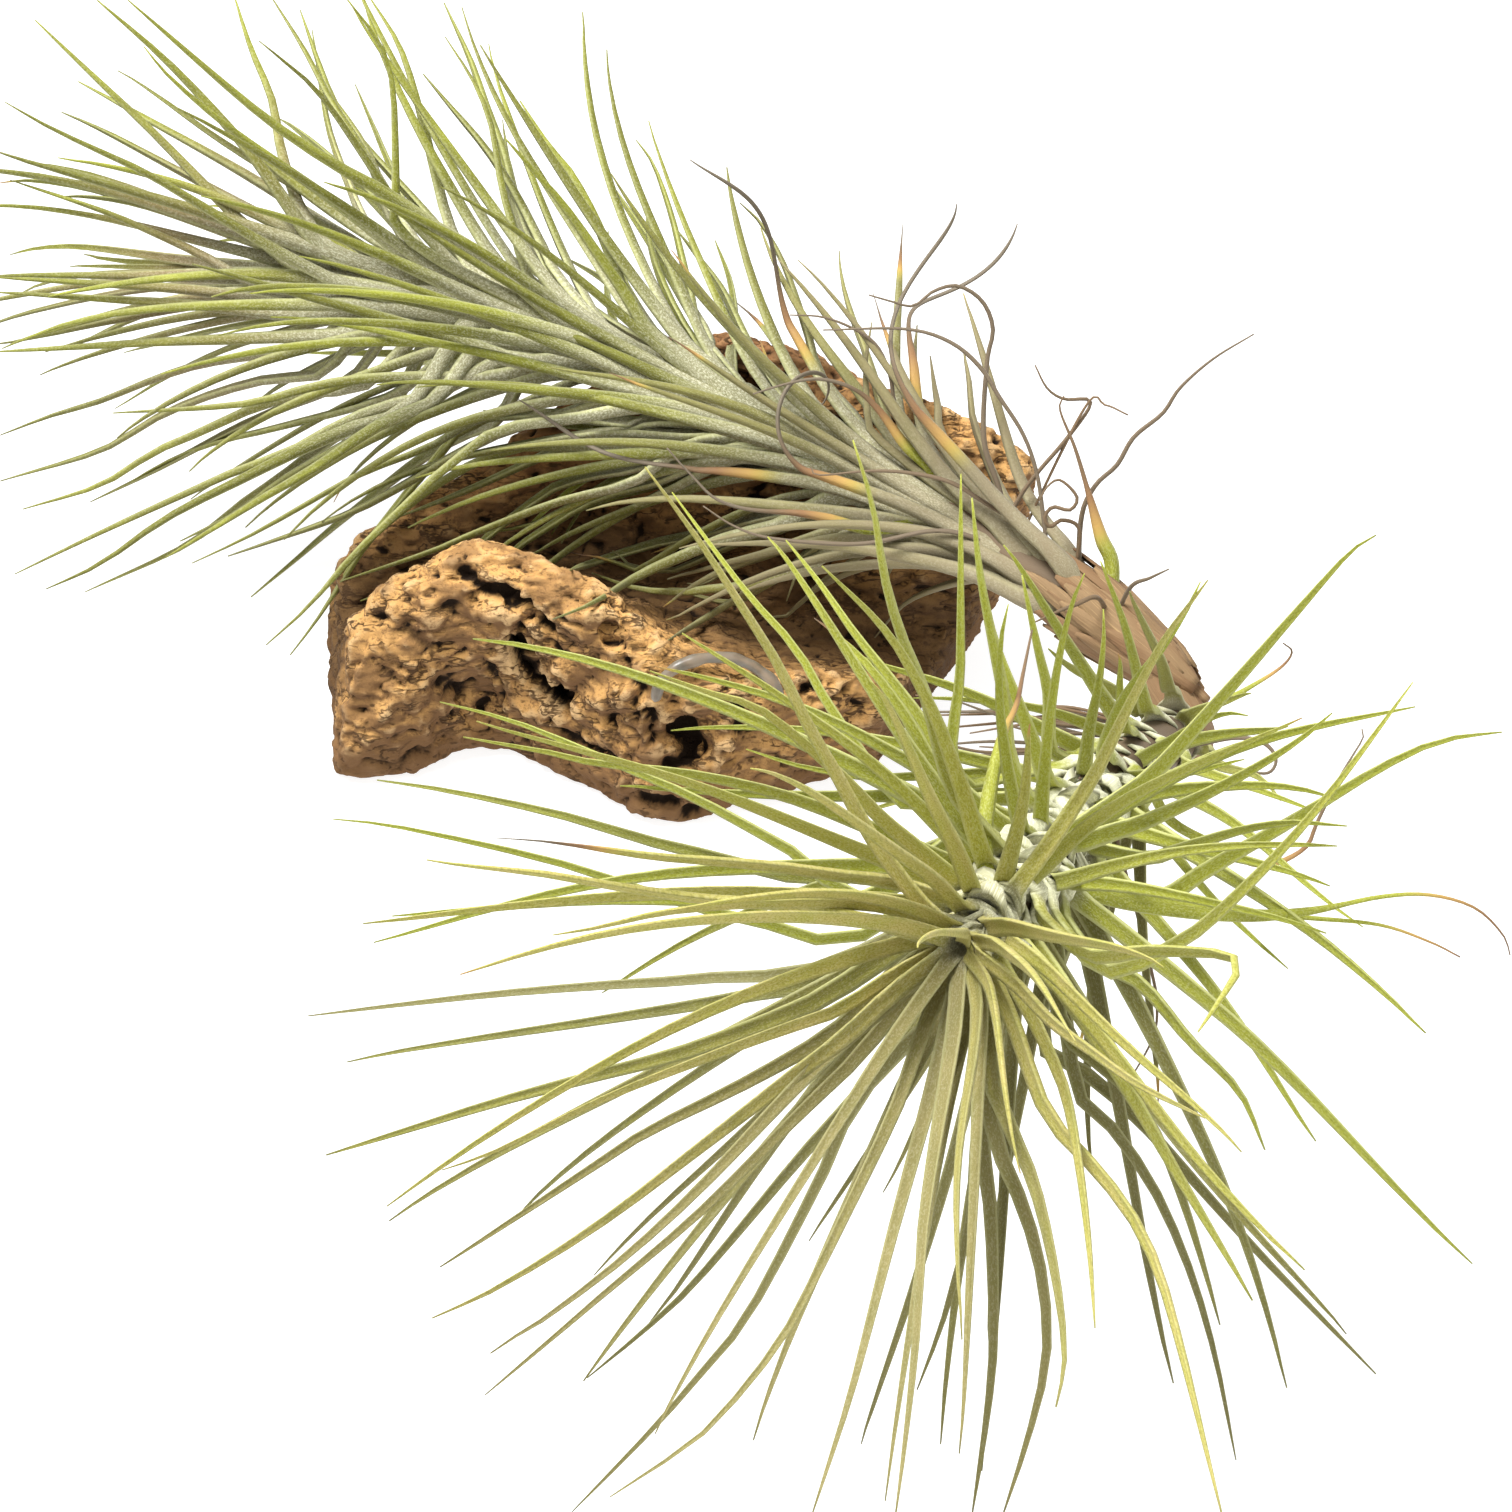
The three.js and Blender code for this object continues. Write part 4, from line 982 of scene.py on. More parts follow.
# Leaves that point down along this way get painted shade.
LOW_SHADE_WAY = Vector((-0.2, -0.55, -0.81))
BARE_WAY = Vector((0.79, 0.14, 0.60))
BARE_ZONE = (8, 50)
BARE_REACH = 0.45
FILL_REACH = 0.1
SPARSE_REACH = 0.2
SPARSE_SHARE = 0.5
SPARSE_SEED = 9
STUB_SHARE = 0.08
BETWEEN_STEP = 3.3
BETWEEN_TURN = 26
LINE_STEPS = 6
LOOK_SEED = 5
YOUNG_ZONE = (2, 22)
SLIM_ZONE = (0, 12)
SLIM_TIP = 0.8
OLD_ZONE = (4, 55)
BULGE_PLACES = (0, 2.8, 5)
HEART_PULL = 1.1
HEART_ZONE = (3, 11)
LOWEST = 0.4
GIRTH_SPREAD = (0.85, 1.15)
SCALE_WIDTHS = ((0, 0.75, 0.93, 1), (0.85, 0.85, 0.75, 0.45))
SCALE_STOPS = ((0, 0.85, 1), (0.7, 1, 0.7))
SCALE_THICKNESS = 1.7
SCALE_ZONE = (0.06, 0.13)
WRAP_ZONE = (0.06, 0.15)
DRY_FROM = (1.35, 0.9)
DRIER_OLD = 0.2
DRYING = 0.2
DRY_SHRINK = 0.5
CURL_THINNING = (0.42, 0.62)
CURL_DRYING = (0.3, 0.7)
LOW_SHADE_REACH = (0.2, 0.85)
CORE_RINGS = 40
CORE_SIDES = 16
CORE_END = 3
CORE_TIP = 0.15
CORE_ZONE = (2, 12)
CORE_INSET = 0.6


def on_flank(stem, axis, facts, reach):
    """True on the short stem's flank towards the camera, where blades are few and scales show."""
    from_tip = axis.length - facts["place"]
    faces_camera = facts["outward"].dot(BARE_WAY) > reach
    return stem is SHORT_STEM and faces_camera and BARE_ZONE[0] < from_tip < BARE_ZONE[1]


def is_bare(stem, axis, facts):
    """True for a scale that has lost its blade."""
    unseen = facts["leaf"] % 2 == 1 and facts["dry_from"] is None
    return facts["bare"] or (unseen and on_flank(stem, axis, facts, BARE_REACH))


def is_left_out(stem, axis, facts):
    """True for leaves left out where the photograph shows fewer: above the long stem, to the right of the
    short one, and in front of its scales."""
    if facts["leaf"] % 2 == 0 or facts["dry_from"] is not None:
        return False
    sparse_way = IMAGE_UP if stem is LONG_STEM else Vector((1, 0, 0))
    dropped = draw(stem["seed"] + SPARSE_SEED, facts["leaf"], 0) < SPARSE_SHARE
    if dropped and facts["outward"].dot(sparse_way) > SPARSE_REACH and not is_bare(stem, axis, facts):
        return True
    faces_camera = facts["outward"].dot(BARE_WAY) > BARE_REACH
    return stem is SHORT_STEM and faces_camera and axis.length - facts["place"] < BARE_ZONE[0]


def scale_between(axis, facts):
    """A second scale a little further up the stem and round it, which fills the gap beside a leaf."""
    place = facts["place"] + BETWEEN_STEP
    forward, middle = axis.along(facts["place"]), axis.at(facts["place"])
    angle = math.radians(BETWEEN_TURN)
    points = rows(axis.at(place) + rotated(Vector(p) - middle, forward, angle) for p in facts["points"])
    outward = rotated(facts["outward"], forward, angle)
    return {**facts, "place": place, "outward": outward, "points": points, "bare": True}


def wavered(line, number, seed):
    """A leaf line with a slight waver, none at its root."""
    share = np.linspace(0, 1, len(line))[:, None]
    drift = rows(noise.noise_vector(Vector((seed, number * 1.7, t * 2.3))) for t in share[:, 0])
    return line + (drift - drift[0]) * share**1.5 * WAVER


def add_leaf(skin, stem, axis, facts):
    """One leaf as a strip, with the facts that its finish reads."""
    chance = [draw(stem["seed"] + LOOK_SEED, facts["leaf"], channel) for channel in range(4)]
    bare = is_bare(stem, axis, facts)
    places = CURLED_PLACES if facts["curled"] else LEAF_PLACES * (STUB_SHARE if bare else 1)
    line = points_at(smooth_path(facts["points"], LINE_STEPS), places)
    run = lengths_along(line)
    if facts["dry_from"] is None:
        line = wavered(line, facts["leaf"], stem["seed"])
    from_base, from_tip = facts["place"] - stem["bare"], axis.length - facts["place"]
    youth = 1 - float(smooth(from_tip, *YOUNG_ZONE))
    oldness = 1 - float(smooth(from_base, *OLD_ZONE))
    # Painted shade: leaves that point down and towards the camera get a lower tone, less young tan and more
    # faded colour, so they are painted darker.
    low = float(smooth(facts["outward"].dot(LOW_SHADE_WAY), *LOW_SHADE_REACH))
    bulge = np.interp(run, BULGE_PLACES, (0, stem["bulge"], 0))
    lift = bulge - HEART_PULL * youth * (1 - smooth(run, *HEART_ZONE))
    line += np.outer(lift, facts["outward"])
    line[:, 2] = np.maximum(line[:, 2], LOWEST)
    slim = mix(SLIM_TIP, 1, float(smooth(from_tip, *SLIM_ZONE)))
    girth = stem["girth"] * mix(*GIRTH_SPREAD, chance[0]) * slim
    widths = np.interp(places, (*SHEATH_PLACES, *WIDTH_PLACES), (*stem["sheath"], *WIDTHS)) * girth
    thicknesses = np.interp(places, *THICK_STOPS) * girth
    if bare:
        widths = stem["sheath"][0] * np.interp(LEAF_PLACES, *SCALE_WIDTHS)
        thicknesses = SCALE_THICKNESS * np.interp(LEAF_PLACES, *SCALE_STOPS)
    dry_from = facts["dry_from"] or mix(*DRY_FROM, chance[1]) - DRIER_OLD * oldness * chance[2]
    dry = smooth(places, dry_from, dry_from + DRYING)
    if facts["curled"]:
        wire = smooth(places, *CURL_THINNING)
        widths = mix(widths, np.minimum(widths, CURL_WIRE), wire)
        thicknesses = mix(thicknesses, np.minimum(thicknesses, CURL_WIRE), wire)
        dry = smooth(places, *CURL_DRYING)
    else:
        shrink = 1 - DRY_SHRINK * dry
        widths, thicknesses = widths * shrink, thicknesses * shrink
    plain = 1 - stem["blush"]
    skin.sweep(
        line, facts["outward"], widths, thicknesses, LEAF_SECTION,
        wrap=SHEATH_WRAP * (1 - smooth(places, *WRAP_ZONE)), number=facts["leaf"], along=places, dry=dry,
        tone=mix(*stem["tone"], chance[3]) - low * stem["low_shade_drop"],
        youth=youth * plain * (1 - low * 0.6),
        faded=max(1 - float(smooth(from_base, *stem["faded"])), low * stem["low_shade_fade"]),
        blush=youth * stem["blush"],
        silver=1 - smooth(places, *stem["silver"]),
        scale=(1 - smooth(places, *SCALE_ZONE)) * plain * (1 - youth * 0.7),
    )


def add_core(skin, stem, axis):
    """The stem itself, painted dark as painted shade between the sheaths."""
    places = np.linspace(stem["bare"], axis.length - CORE_END, CORE_RINGS)
    line = rows(axis.at(place) for place in places)
    radius = stem["core_radius"] * mix(CORE_TIP, 1, smooth(axis.length - places, *CORE_ZONE)) - CORE_INSET
    # The dry colour paints the core dark brown, as painted shade between the sheaths.
    skin.sweep(line, UP, radius, radius, circle(CORE_SIDES), along=0.3, dry=0.8)


def make_stem(name, node, stem, axis, leaves):
    skin = Skin()
    add_core(skin, stem, axis)
    for facts in leaves:
        if is_left_out(stem, axis, facts):
            continue
        add_leaf(skin, stem, axis, facts)
        if on_flank(stem, axis, facts, FILL_REACH):
            add_leaf(skin, stem, axis, scale_between(axis, facts))
    piece = skin.make(name, leaf_material)
    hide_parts(node)


make_stem("long_stem_leaves", "long_stem", LONG_STEM, long_axis, long_leaves)
make_stem("short_stem_leaves", "short_stem", SHORT_STEM, short_axis, short_leaves)

# %% [markdown]
# ## The dry base
# Where the clump once sat, only the brown core of the stem is left, wrapped in the stringy sheaths of
# dead leaves. A ribbed cone gives its body, and long straps laid over it give the torn, fibrous look.

# %% Dry finish
BARK_BROWN = (0.19, 0.105, 0.05)
BARK_GREY = (0.25, 0.16, 0.08)
STRAW = (0.45, 0.30, 0.145)


def dry_finish():
    finish = Finish("dry_sheath", Specular_IOR_Level=0.3)
    tone, grain = finish.fact("tone"), finish.vector("grain")
    fibres = finish.noise(grain, 1.0, 4, 0.6, stretch=(0.25, 6, 1))
    patches = finish.noise(grain, 1.0, stretch=(0.12, 0.5, 1))
    colour = finish.layers(
        BARK_BROWN,
        (BARK_GREY, (patches + tone * 0.4).step(0.45, 0.85)),
        (STRAW, fibres.step(0.5, 0.75) * (tone * 0.8 + 0.15)),
    )
    finish.bump(fibres, 0.22)
    return finish.paint(Base_Color=colour, Roughness=0.72 + fibres * 0.2)


dry_material = dry_finish()
print("dry finish has", len(dry_material.node_tree.nodes), "nodes")

# %% Dry base
CONE_RADII = (0.55, 1.2, 2.4, 3, 3.5)
SHOOT_RADII = (2.3, 2.7, 3)
BASE_RINGS = 30
STRAPS = 46
STRAP_SEED = 71
STRAP_LENGTH = (7, 15)
STRAP_STARTS = (0.5, 9)
STRAP_END = 22
STRAP_RINGS = 12
STRAP_WIDTH = (1.5, 2.4)
STRAP_THICKNESS = 0.35
STRAP_WRAP = 0.12
STRAP_LIFT = 0.12
STRAP_LOOSE = 0.5
STRAP_TWIST = 0.06
BODY_SIDES = 24
BODY_STEPS = 12
BODY_INSET = 0.15
BODY_TONE = 0.35


def ribbed(sides):
    """A round section with eleven fine ribs on five broad ones."""
    turns = np.linspace(0, 2 * math.pi, sides, endpoint=False)
    radius = 1 + 0.05 * np.cos(11 * turns) + 0.03 * np.cos(5 * turns + 1)
    return np.stack([np.cos(turns) * radius, np.sin(turns) * radius], axis=1)


def add_body(skin, points, radii):
    share = np.linspace(0, 1, BASE_RINGS)
    line = points_at(smooth_path(rows(points), BODY_STEPS), share)
    size = np.interp(share, np.linspace(0, 1, len(radii)), radii) - BODY_INSET
    skin.sweep(line, UP, size, size, ribbed(BODY_SIDES), tone=BODY_TONE)


def add_strap(skin, number):
    """One dead sheath, laid along the cone."""
    chance = [draw(STRAP_SEED, number, channel) for channel in range(6)]
    start = mix(*STRAP_STARTS, chance[0])
    length = mix(*STRAP_LENGTH, chance[1])
    turn = 2 * math.pi * chance[2]
    share = np.linspace(0, 1, STRAP_RINGS)
    line = []
    for k, place in enumerate(np.linspace(start, min(start + length, STRAP_END), STRAP_RINGS)):
        forward = long_axis.along(place)
        loose = STRAP_LOOSE * chance[3] * (k / (STRAP_RINGS - 1)) ** 2
        girth = np.interp(place, BASE_CONE_PLACES, CONE_RADII) + STRAP_LIFT + loose
        outward = rotated(upward(forward), forward, turn + STRAP_TWIST * k * (chance[4] - 0.5))
        line.append(tuple(long_axis.at(place) + outward * girth))
    line = np.array(line)
    taper = np.sin(math.pi * np.clip(share * 0.9 + 0.08, 0, 1)) ** 0.6
    skin.sweep(
        line, line[0] - np.array(long_axis.at(start)), mix(*STRAP_WIDTH, chance[5]) * taper,
        np.full(STRAP_RINGS, STRAP_THICKNESS), LEAF_SECTION, wrap=np.full(STRAP_RINGS, STRAP_WRAP),
        number=number, tone=chance[4],
    )


def make_dry_base():
    skin = Skin()
    add_body(skin, cone_points, CONE_RADII)
    add_body(skin, shoot_points, SHOOT_RADII)
    for number in range(STRAPS):
        add_strap(skin, number)
    piece = skin.make("dry_base_sheaths", dry_material)
    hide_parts("dry_base")


make_dry_base()

# %% [markdown]
# ## Dry, wiry ends
# The ends of dead leaves dry into grey wires that curl above the long stem. The largest are placed as
# they are seen. Each row gives a width in mm, the share that is still green (None for a dry wire), the
# depths behind the camera's target at root and tip, and the pixels from the root. Every wire is rooted
# in a stem, so it hangs on it from any side.

# %% Wires
LONG_WIRES = [
    (0.95, None, (15, 6), [(1030, 530), (1000, 492), (984, 440), (987, 363), (993, 329), (982, 301),
                           (958, 286), (934, 291), (913, 306), (890, 301), (869, 295)]),
    (0.7, None, (17, 12), [(985, 512), (925, 455), (897, 410), (890, 375), (876, 345), (852, 328),
                           (822, 317), (790, 315)]),
    (0.7, None, (12, 8), [(1065, 560), (1042, 505), (1035, 466), (1022, 432), (1000, 398), (980, 367),
                          (950, 342), (905, 329), (823, 330)]),
    (0.75, None, (13, 8), [(1045, 560), (1014, 520), (1020, 497), (1039, 471), (1068, 437), (1091, 402),
                           (1064, 399), (1047, 388), (1035, 365)]),
    (0.45, None, (10.2, 8), [(1068, 437), (1084, 409), (1105, 405), (1128, 415)]),
    (0.85, None, (10, 3), [(1090, 580), (1081, 520), (1095, 486), (1117, 465), (1134, 437), (1163, 413),
                           (1180, 388), (1213, 359), (1254, 334)]),
    (1.7, 0.23, (9, 5), [(1125, 605), (1112, 566), (1101, 537), (1088, 491), (1075, 448), (1060, 410),
                         (1064, 396)]),
    (1.5, 0.23, (18, 11), [(965, 512), (935, 475), (906, 446), (877, 408), (852, 388), (819, 379),
                           (786, 384), (753, 394)]),
    (0.8, None, (11, 12), [(1065, 570), (1035, 533), (993, 508), (952, 483), (910, 473), (869, 471),
                           (819, 475), (811, 467)]),
    (1.5, 0.23, (17, 12), [(930, 540), (880, 529), (853, 526), (827, 518), (797, 513), (763, 511),
                           (737, 507), (713, 497), (693, 477), (680, 463), (667, 448)]),
    (0.8, None, (13, 12), [(1015, 560), (972, 537), (931, 531), (869, 543), (819, 543), (765, 537),
                           (732, 525), (703, 506)]),
    (0.9, None, (6, -2), [(1110, 612), (1098, 598), (1075, 605), (1057, 612), (1033, 623)]),
    (0.6, None, (9, 6), [(1095, 545), (1080, 533), (1063, 520), (1050, 527), (1045, 517), (1053, 507),
                         (1070, 510), (1077, 497), (1060, 480), (1047, 487), (1040, 500)]),
    (0.7, None, (6, -1), [(1118, 605), (1130, 588), (1150, 578), (1169, 569)]),
]
SHORT_WIRES = [
    (1.0, 0.55, (-3, -6), [(1150, 745), (1200, 715), (1245, 690), (1280, 668), (1292, 652), (1283, 643)]),
    (0.7, None, (-6, -8), [(1150, 760), (1195, 745), (1235, 738), (1262, 742), (1276, 758), (1268, 773),
                           (1240, 770)]),
    (1.2, 0.35, (-10, -12), [(1120, 800), (1166, 816), (1216, 846), (1244, 860), (1262, 865), (1280, 862),
                             (1298, 853), (1309, 843), (1316, 825), (1328, 800), (1341, 775), (1353, 755),
                             (1363, 738), (1362, 729)]),
    (0.5, None, (-20, -22), [(1120, 930), (1150, 965), (1157, 1010), (1152, 1040), (1130, 1080)]),
    (1.4, 0.4, (-60, -40), [(990, 880), (985, 830), (1000, 744), (1016, 706), (1023, 674), (1032, 630)]),
    (1.8, 0.62, (-46, -36), [(1030, 870), (1120, 900), (1240, 915), (1310, 911), (1380, 897), (1430, 895),
                             (1475, 908), (1503, 935), (1510, 955)]),
    (1.7, 0.68, (-44, -38), [(1035, 865), (1130, 893), (1240, 912), (1310, 918), (1380, 925), (1430, 942),
                             (1460, 957)]),
]
WIRE_RINGS = 44
WIRE_STEPS = 14
WIRE_SEED = 91
WIRE_THINNING = 0.75
WIRE_KEEL = (0.2, 0.1, 1)
WIRE_PLACES = (0, 0.35, 0.6, 1)
WIRE_WAIST = 0.5
WIRE_TIP = 0.16
DRY_OVER = 0.5
LEAST_DRY = 0.7
BACK_WIRES = 14
BACK_SEED = 57
BACK_WIDTH = 0.55
BACK_START = (1150, 722)
BACK_LIFT = 60
BACK_REACH = (150, 265)
BACK_SAG = 26


def nearest_on_stems(point):
    """The place on the stems' middle lines that is nearest to a point, which is where a wire is rooted."""
    middle = np.vstack([axis.path for axis in (long_axis, short_axis)])
    return tuple(middle[np.linalg.norm(middle - np.array(point), axis=1).argmin()])


def add_wire(skin, wire, number):
    """One dry end: green and broad at its root where it starts wide, a thin grey wire at its tip."""
    width, green, ends, seen = wire
    depths = np.linspace(*ends, len(seen))
    points = [tuple(seen_at(*pixel, depth)) for pixel, depth in zip(seen, depths)]
    points[0] = nearest_on_stems(points[0])
    share = np.linspace(0, 1, WIRE_RINGS)
    line = points_at(smooth_path(points, WIRE_STEPS), share)
    if green is None:
        width *= WIRE_THINNING
        dry = np.ones(WIRE_RINGS)
    else:
        dry = smooth(share, green, green + DRY_OVER)
    widths = np.interp(share, WIRE_PLACES, (width, width * 0.85, min(WIRE_WAIST, width), WIRE_TIP))
    dry = dry * mix(LEAST_DRY, 1, draw(WIRE_SEED, number, 0))
    skin.sweep(
        line, WIRE_KEEL, widths, widths * 0.8, WIRE_SECTION, number=number, along=share, dry=dry, tone=0.6
    )


def back_wire(number):
    """A dead strand behind the short stem's foot, which runs to the left."""
    chance = [draw(BACK_SEED, number, channel) for channel in range(4)]
    across, down = BACK_START
    lift = BACK_LIFT * (chance[0] - 0.5)
    reach = mix(*BACK_REACH, chance[1])
    sag = BACK_SAG * (chance[2] - 0.3)
    seen = [
        (across, down), (across - reach * 0.35, down + lift * 0.5 + sag),
        (across - reach * 0.7, down + 6 + lift), (across - reach, down + lift + 30 * (chance[3] - 0.5)),
    ]
    return BACK_WIDTH, None, (0, mix(-6, 4, chance[3])), seen


def make_wires(name, wires, material):
    skin = Skin()
    for number, wire in enumerate(wires):
        add_wire(skin, wire, number)
    piece = skin.make(name, material)


make_wires("long_stem_dry_ends", LONG_WIRES, leaf_material)
make_wires("short_stem_dry_ends", SHORT_WIRES + [back_wire(k) for k in range(BACK_WIRES)], leaf_material)

# %% [markdown]
# ## Marks on the driftwood
# Cork breaks in its own way: a crack behind the left knob, a crooked one in front of it, a deep pocket, a
# slit, and ribs between them. The finish paints the cuts black, as painted shade. Each row gives a mark's
# width and depth in mm, with a depth below 0 for a rib, and its pixels. A ray from the camera through a pixel
# finds its place on the wood, so the mark is cut there whatever side it is seen from.

# %% Wood marks
WOOD_MARKS = [
    (1.3, 1.4, [(463, 572), (480, 587), (500, 597), (513, 600)]),
    (1.0, 1.8, [(520, 603), (534, 614), (547, 628)]),
    (1.45, 3.0, [(517, 625), (520, 643), (528, 667), (533, 683), (553, 692), (568, 702)]),
    (0.9, 1.2, [(489, 668), (496, 690), (484, 706)]),
    (1.5, 1.6, [(676, 722), (692, 734), (686, 758), (672, 766)]),
    (0.8, 1.5, [(650, 714), (651, 736)]),
    (0.5, 0.9, [(627, 594), (626, 610)]),
    (0.8, 1.0, [(622, 650), (626, 672), (640, 690), (634, 708)]),
    (0.8, 1.0, [(560, 672), (563, 676)]),
    (0.8, 1.2, [(609, 722), (611, 724)]),
    (0.6, 1.0, [(635, 719), (636, 720)]),
    (1.6, 0.7, [(406, 632), (430, 650)]),
    (1.6, 0.8, [(440, 686), (462, 690)]),
    (1.0, 1.1, [(556, 730), (580, 745), (610, 760)]),
    (0.8, 1.2, [(735, 700), (742, 716), (738, 735)]),
    (0.7, 1.1, [(804, 684), (822, 690)]),
    (1.3, 1.2, [(640, 800), (668, 806), (700, 815)]),
    (1.0, -0.7, [(524, 618), (540, 637), (552, 655), (566, 674)]),
    (1.8, -0.9, [(530, 715), (560, 712), (598, 700), (628, 696)]),
    (1.7, -0.8, [(480, 612), (500, 608), (516, 612)]),
    (1.8, -0.8, [(690, 700), (720, 690), (750, 684)]),
    (1.3, -0.8, [(713, 728), (728, 744), (716, 762)]),
]
HOLLOW_LINE = [
    (-36, -2, 9), (-30, 0, 10), (-21, 2, 11), (-11, 3, 12),
    (-1, 1, 11), (9, -2, 10), (18, -4, 9), (30, -4, 8),
]


def mark_lines():
    """The marks as lines on the wood, in mm."""
    for width, depth, seen in WOOD_MARKS:
        places = [on_wood(*pixel) for pixel in seen]
        yield rows(place for place in places if place is not None), width, depth


found = [len(line) for line, _, _ in mark_lines()]
print("marks on the wood:", len(found), "points found:", sum(found))

# %% [markdown]
# ## Driftwood form
# The wood is a weathered, cork-like curl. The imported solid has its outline, pockets and main cracks. A
# voxel remesh gives it an even skin, a little smoothing takes the facets off, the marks are cut, and
# noise then raises lumps, grain and crumbs. How deep each point lies is kept for the finish.

# %% Driftwood skin
VOXEL = 0.38
FACET_SMOOTHING = 4
CAVITY_SMOOTHING = 30
OWN_SHARE = 0.4
NEIGHBOUR_SHARE = 0.6
LUMP_HEIGHT = 0.48
RIDGE_HEIGHT = 0.28
CRUMB_HEIGHT = 0.2
PIT_DEPTH = 0.75
SPLIT_DEPTH = 0.8
SPLIT_SHARPNESS = 13
HIGHEST_LUMP = 0.5
PICKED_ABOVE = 0.45
TORN_SHARE = 0.3
FOOT_ZONE = (0.15, 1.2)
FLAT_FOOT = 0.1


def warp(p):
    """A jagged shift in mm that tears straight edges."""
    return noise.noise_vector(p * 0.55) * 1.1 + noise.noise_vector(p * 1.5) * 0.45


def wood_height(p):
    """Height of the relief in mm, and how much of it is a pit and a split."""
    q = p + noise.noise_vector(p * 0.22) * 1.9
    grained = Vector((q.x * 0.3, q.y * 0.85, q.z * 0.85))
    lumps = noise.fractal(q * 0.24, 1.0, 2.0, 3)
    ridges = noise.ridged_multi_fractal(grained, 0.85, 2.15, 4, 1.0, 1.6)
    crumbs = noise.fractal(q * 1.35, 0.75, 2.1, 3)
    near, cells = noise.voronoi(q * 0.42)
    picked = noise.cell(cells[0] * 5.3) > PICKED_ABOVE
    pit = float(picked) * (1 - float(smooth(near[0] + crumbs * 0.12, 0.1, 0.36)))
    line = noise.noise(Vector((q.x * 0.16 + 7, q.y * 0.62, q.z * 0.62)))
    split = max(1 - abs(line) * SPLIT_SHARPNESS, 0)
    height = LUMP_HEIGHT * lumps + RIDGE_HEIGHT * (ridges - 1.1) + CRUMB_HEIGHT * crumbs
    height = height - PIT_DEPTH * pit - SPLIT_DEPTH * split
    return min(height, HIGHEST_LUMP), pit, split


def averaged(points, edges, passes):
    """Points drawn towards the mean of their neighbours."""
    count = np.bincount(edges.ravel(), minlength=len(points))[:, None]
    for _ in range(passes):
        total = np.zeros_like(points)
        for k in range(3):
            total[:, k] += np.bincount(edges[:, 0], points[edges[:, 1], k], len(points))
            total[:, k] += np.bincount(edges[:, 1], points[edges[:, 0], k], len(points))
        points = OWN_SHARE * points + NEIGHBOUR_SHARE * total / count
    return points


def read(collection, name, width):
    """A property of all of a mesh's points or edges, as rows of numbers."""
    values = np.zeros(len(collection) * width, np.int32 if name == "vertices" else np.float64)
    collection.foreach_get(name, values)
    return values.reshape(-1, width)


def remeshed(source, voxel):
    """A copy of an object's mesh with an even skin."""
    copy = bpy.data.objects.new("rough", source.data.copy())
    bpy.context.scene.collection.objects.link(copy)
    modifier = copy.modifiers.new("skin", "REMESH")
    modifier.mode = "VOXEL"
    modifier.voxel_size = voxel * MM
    evaluated = copy.evaluated_get(bpy.context.evaluated_depsgraph_get())
    mesh = bpy.data.meshes.new_from_object(evaluated)
    bpy.data.objects.remove(copy)
    mesh.materials.clear()
    return mesh


def put_points(mesh, points):
    """Moves a mesh's points and gives its new normals."""
    mesh.vertices.foreach_set("co", (points * MM).ravel())
    mesh.update()
    return read(mesh.vertex_normals, "vector", 3)


def make_driftwood(material):
    mesh = remeshed(wood_node, VOXEL)
    edges = read(mesh.edges, "vertices", 2)
    start = read(mesh.vertices, "co", 3) / MM
    points = averaged(start, edges, FACET_SMOOTHING)
    normals = put_points(mesh, points)
    torn = rows(warp(Vector(p)) for p in points)
    cut = np.zeros(len(points))
    for line, width, depth in mark_lines():
        cut += depth * (1 - smooth(line_distance(points + torn, line), 0.35 * width, width))
    relief = rows(wood_height(Vector(p)) for p in points)
    lifted = smooth(points[:, 2], *FOOT_ZONE)
    points = points + (normals * (relief[:, 0] - cut)[:, None] + torn * TORN_SHARE) * lifted[:, None]
    points = averaged(points, edges, 1)
    points[:, 2] = np.where(start[:, 2] < FLAT_FOOT, 0, np.maximum(points[:, 2], 0))
    normals = put_points(mesh, points)
    sunk = ((averaged(points, edges, CAVITY_SMOOTHING) - points) * normals).sum(1)
    # cavity, pit, crack, split and hollow let the finish paint shade into the deep places, and ridge a
    # painted highlight on the raised ones.
    facts = {
        "cavity": np.clip(sunk / 1.3, 0, 1), "ridge": np.clip(-sunk / 0.8, 0, 1), "pit": relief[:, 1],
        "crack": np.clip(cut / 1.8, 0, 1), "hollow": 1 - smooth(line_distance(points, HOLLOW_LINE), 3, 13),
        "split": relief[:, 2],
    }
    for name, values in facts.items():
        mesh.attributes.new(name, "FLOAT", "POINT").data.foreach_set("value", values.astype(np.float32))
    piece = show(mesh, "driftwood_cork", material)
    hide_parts("driftwood")
    print("relief from", relief[:, 0].min().round(2), "mean", relief[:, 0].mean().round(2), "mm")


# %% [markdown]
# ## Driftwood finish
# Weathered cork is tan and brown, and noise stretched along the grain breaks the edges up. Light and shade
# are painted in too: the faces that point up and the ridges are painted lighter as painted light and painted
# highlight, and the pockets, cracks, hollow and foot are painted dark as painted shade. Towards the back the
# wood is painted darker and redder. The facts of the skin decide where.

# %% Wood finish
WOOD_TAN = (0.60, 0.335, 0.118)
WOOD_GRAIN_AND_HIGHLIGHT = (0.64, 0.425, 0.21)
WOOD_BROWN = (0.17, 0.09, 0.04)
WOOD_RECESS_SHADE = (0.016, 0.009, 0.005)
WOOD_RED = (0.235, 0.105, 0.055)
WOOD_DEEP = (0.07, 0.038, 0.018)
# In metres, as the shader reads places.
BEHIND_ZONE = (0.004, 0.014)
FOOT_SHADE_ZONE = (0.007, 0.002)


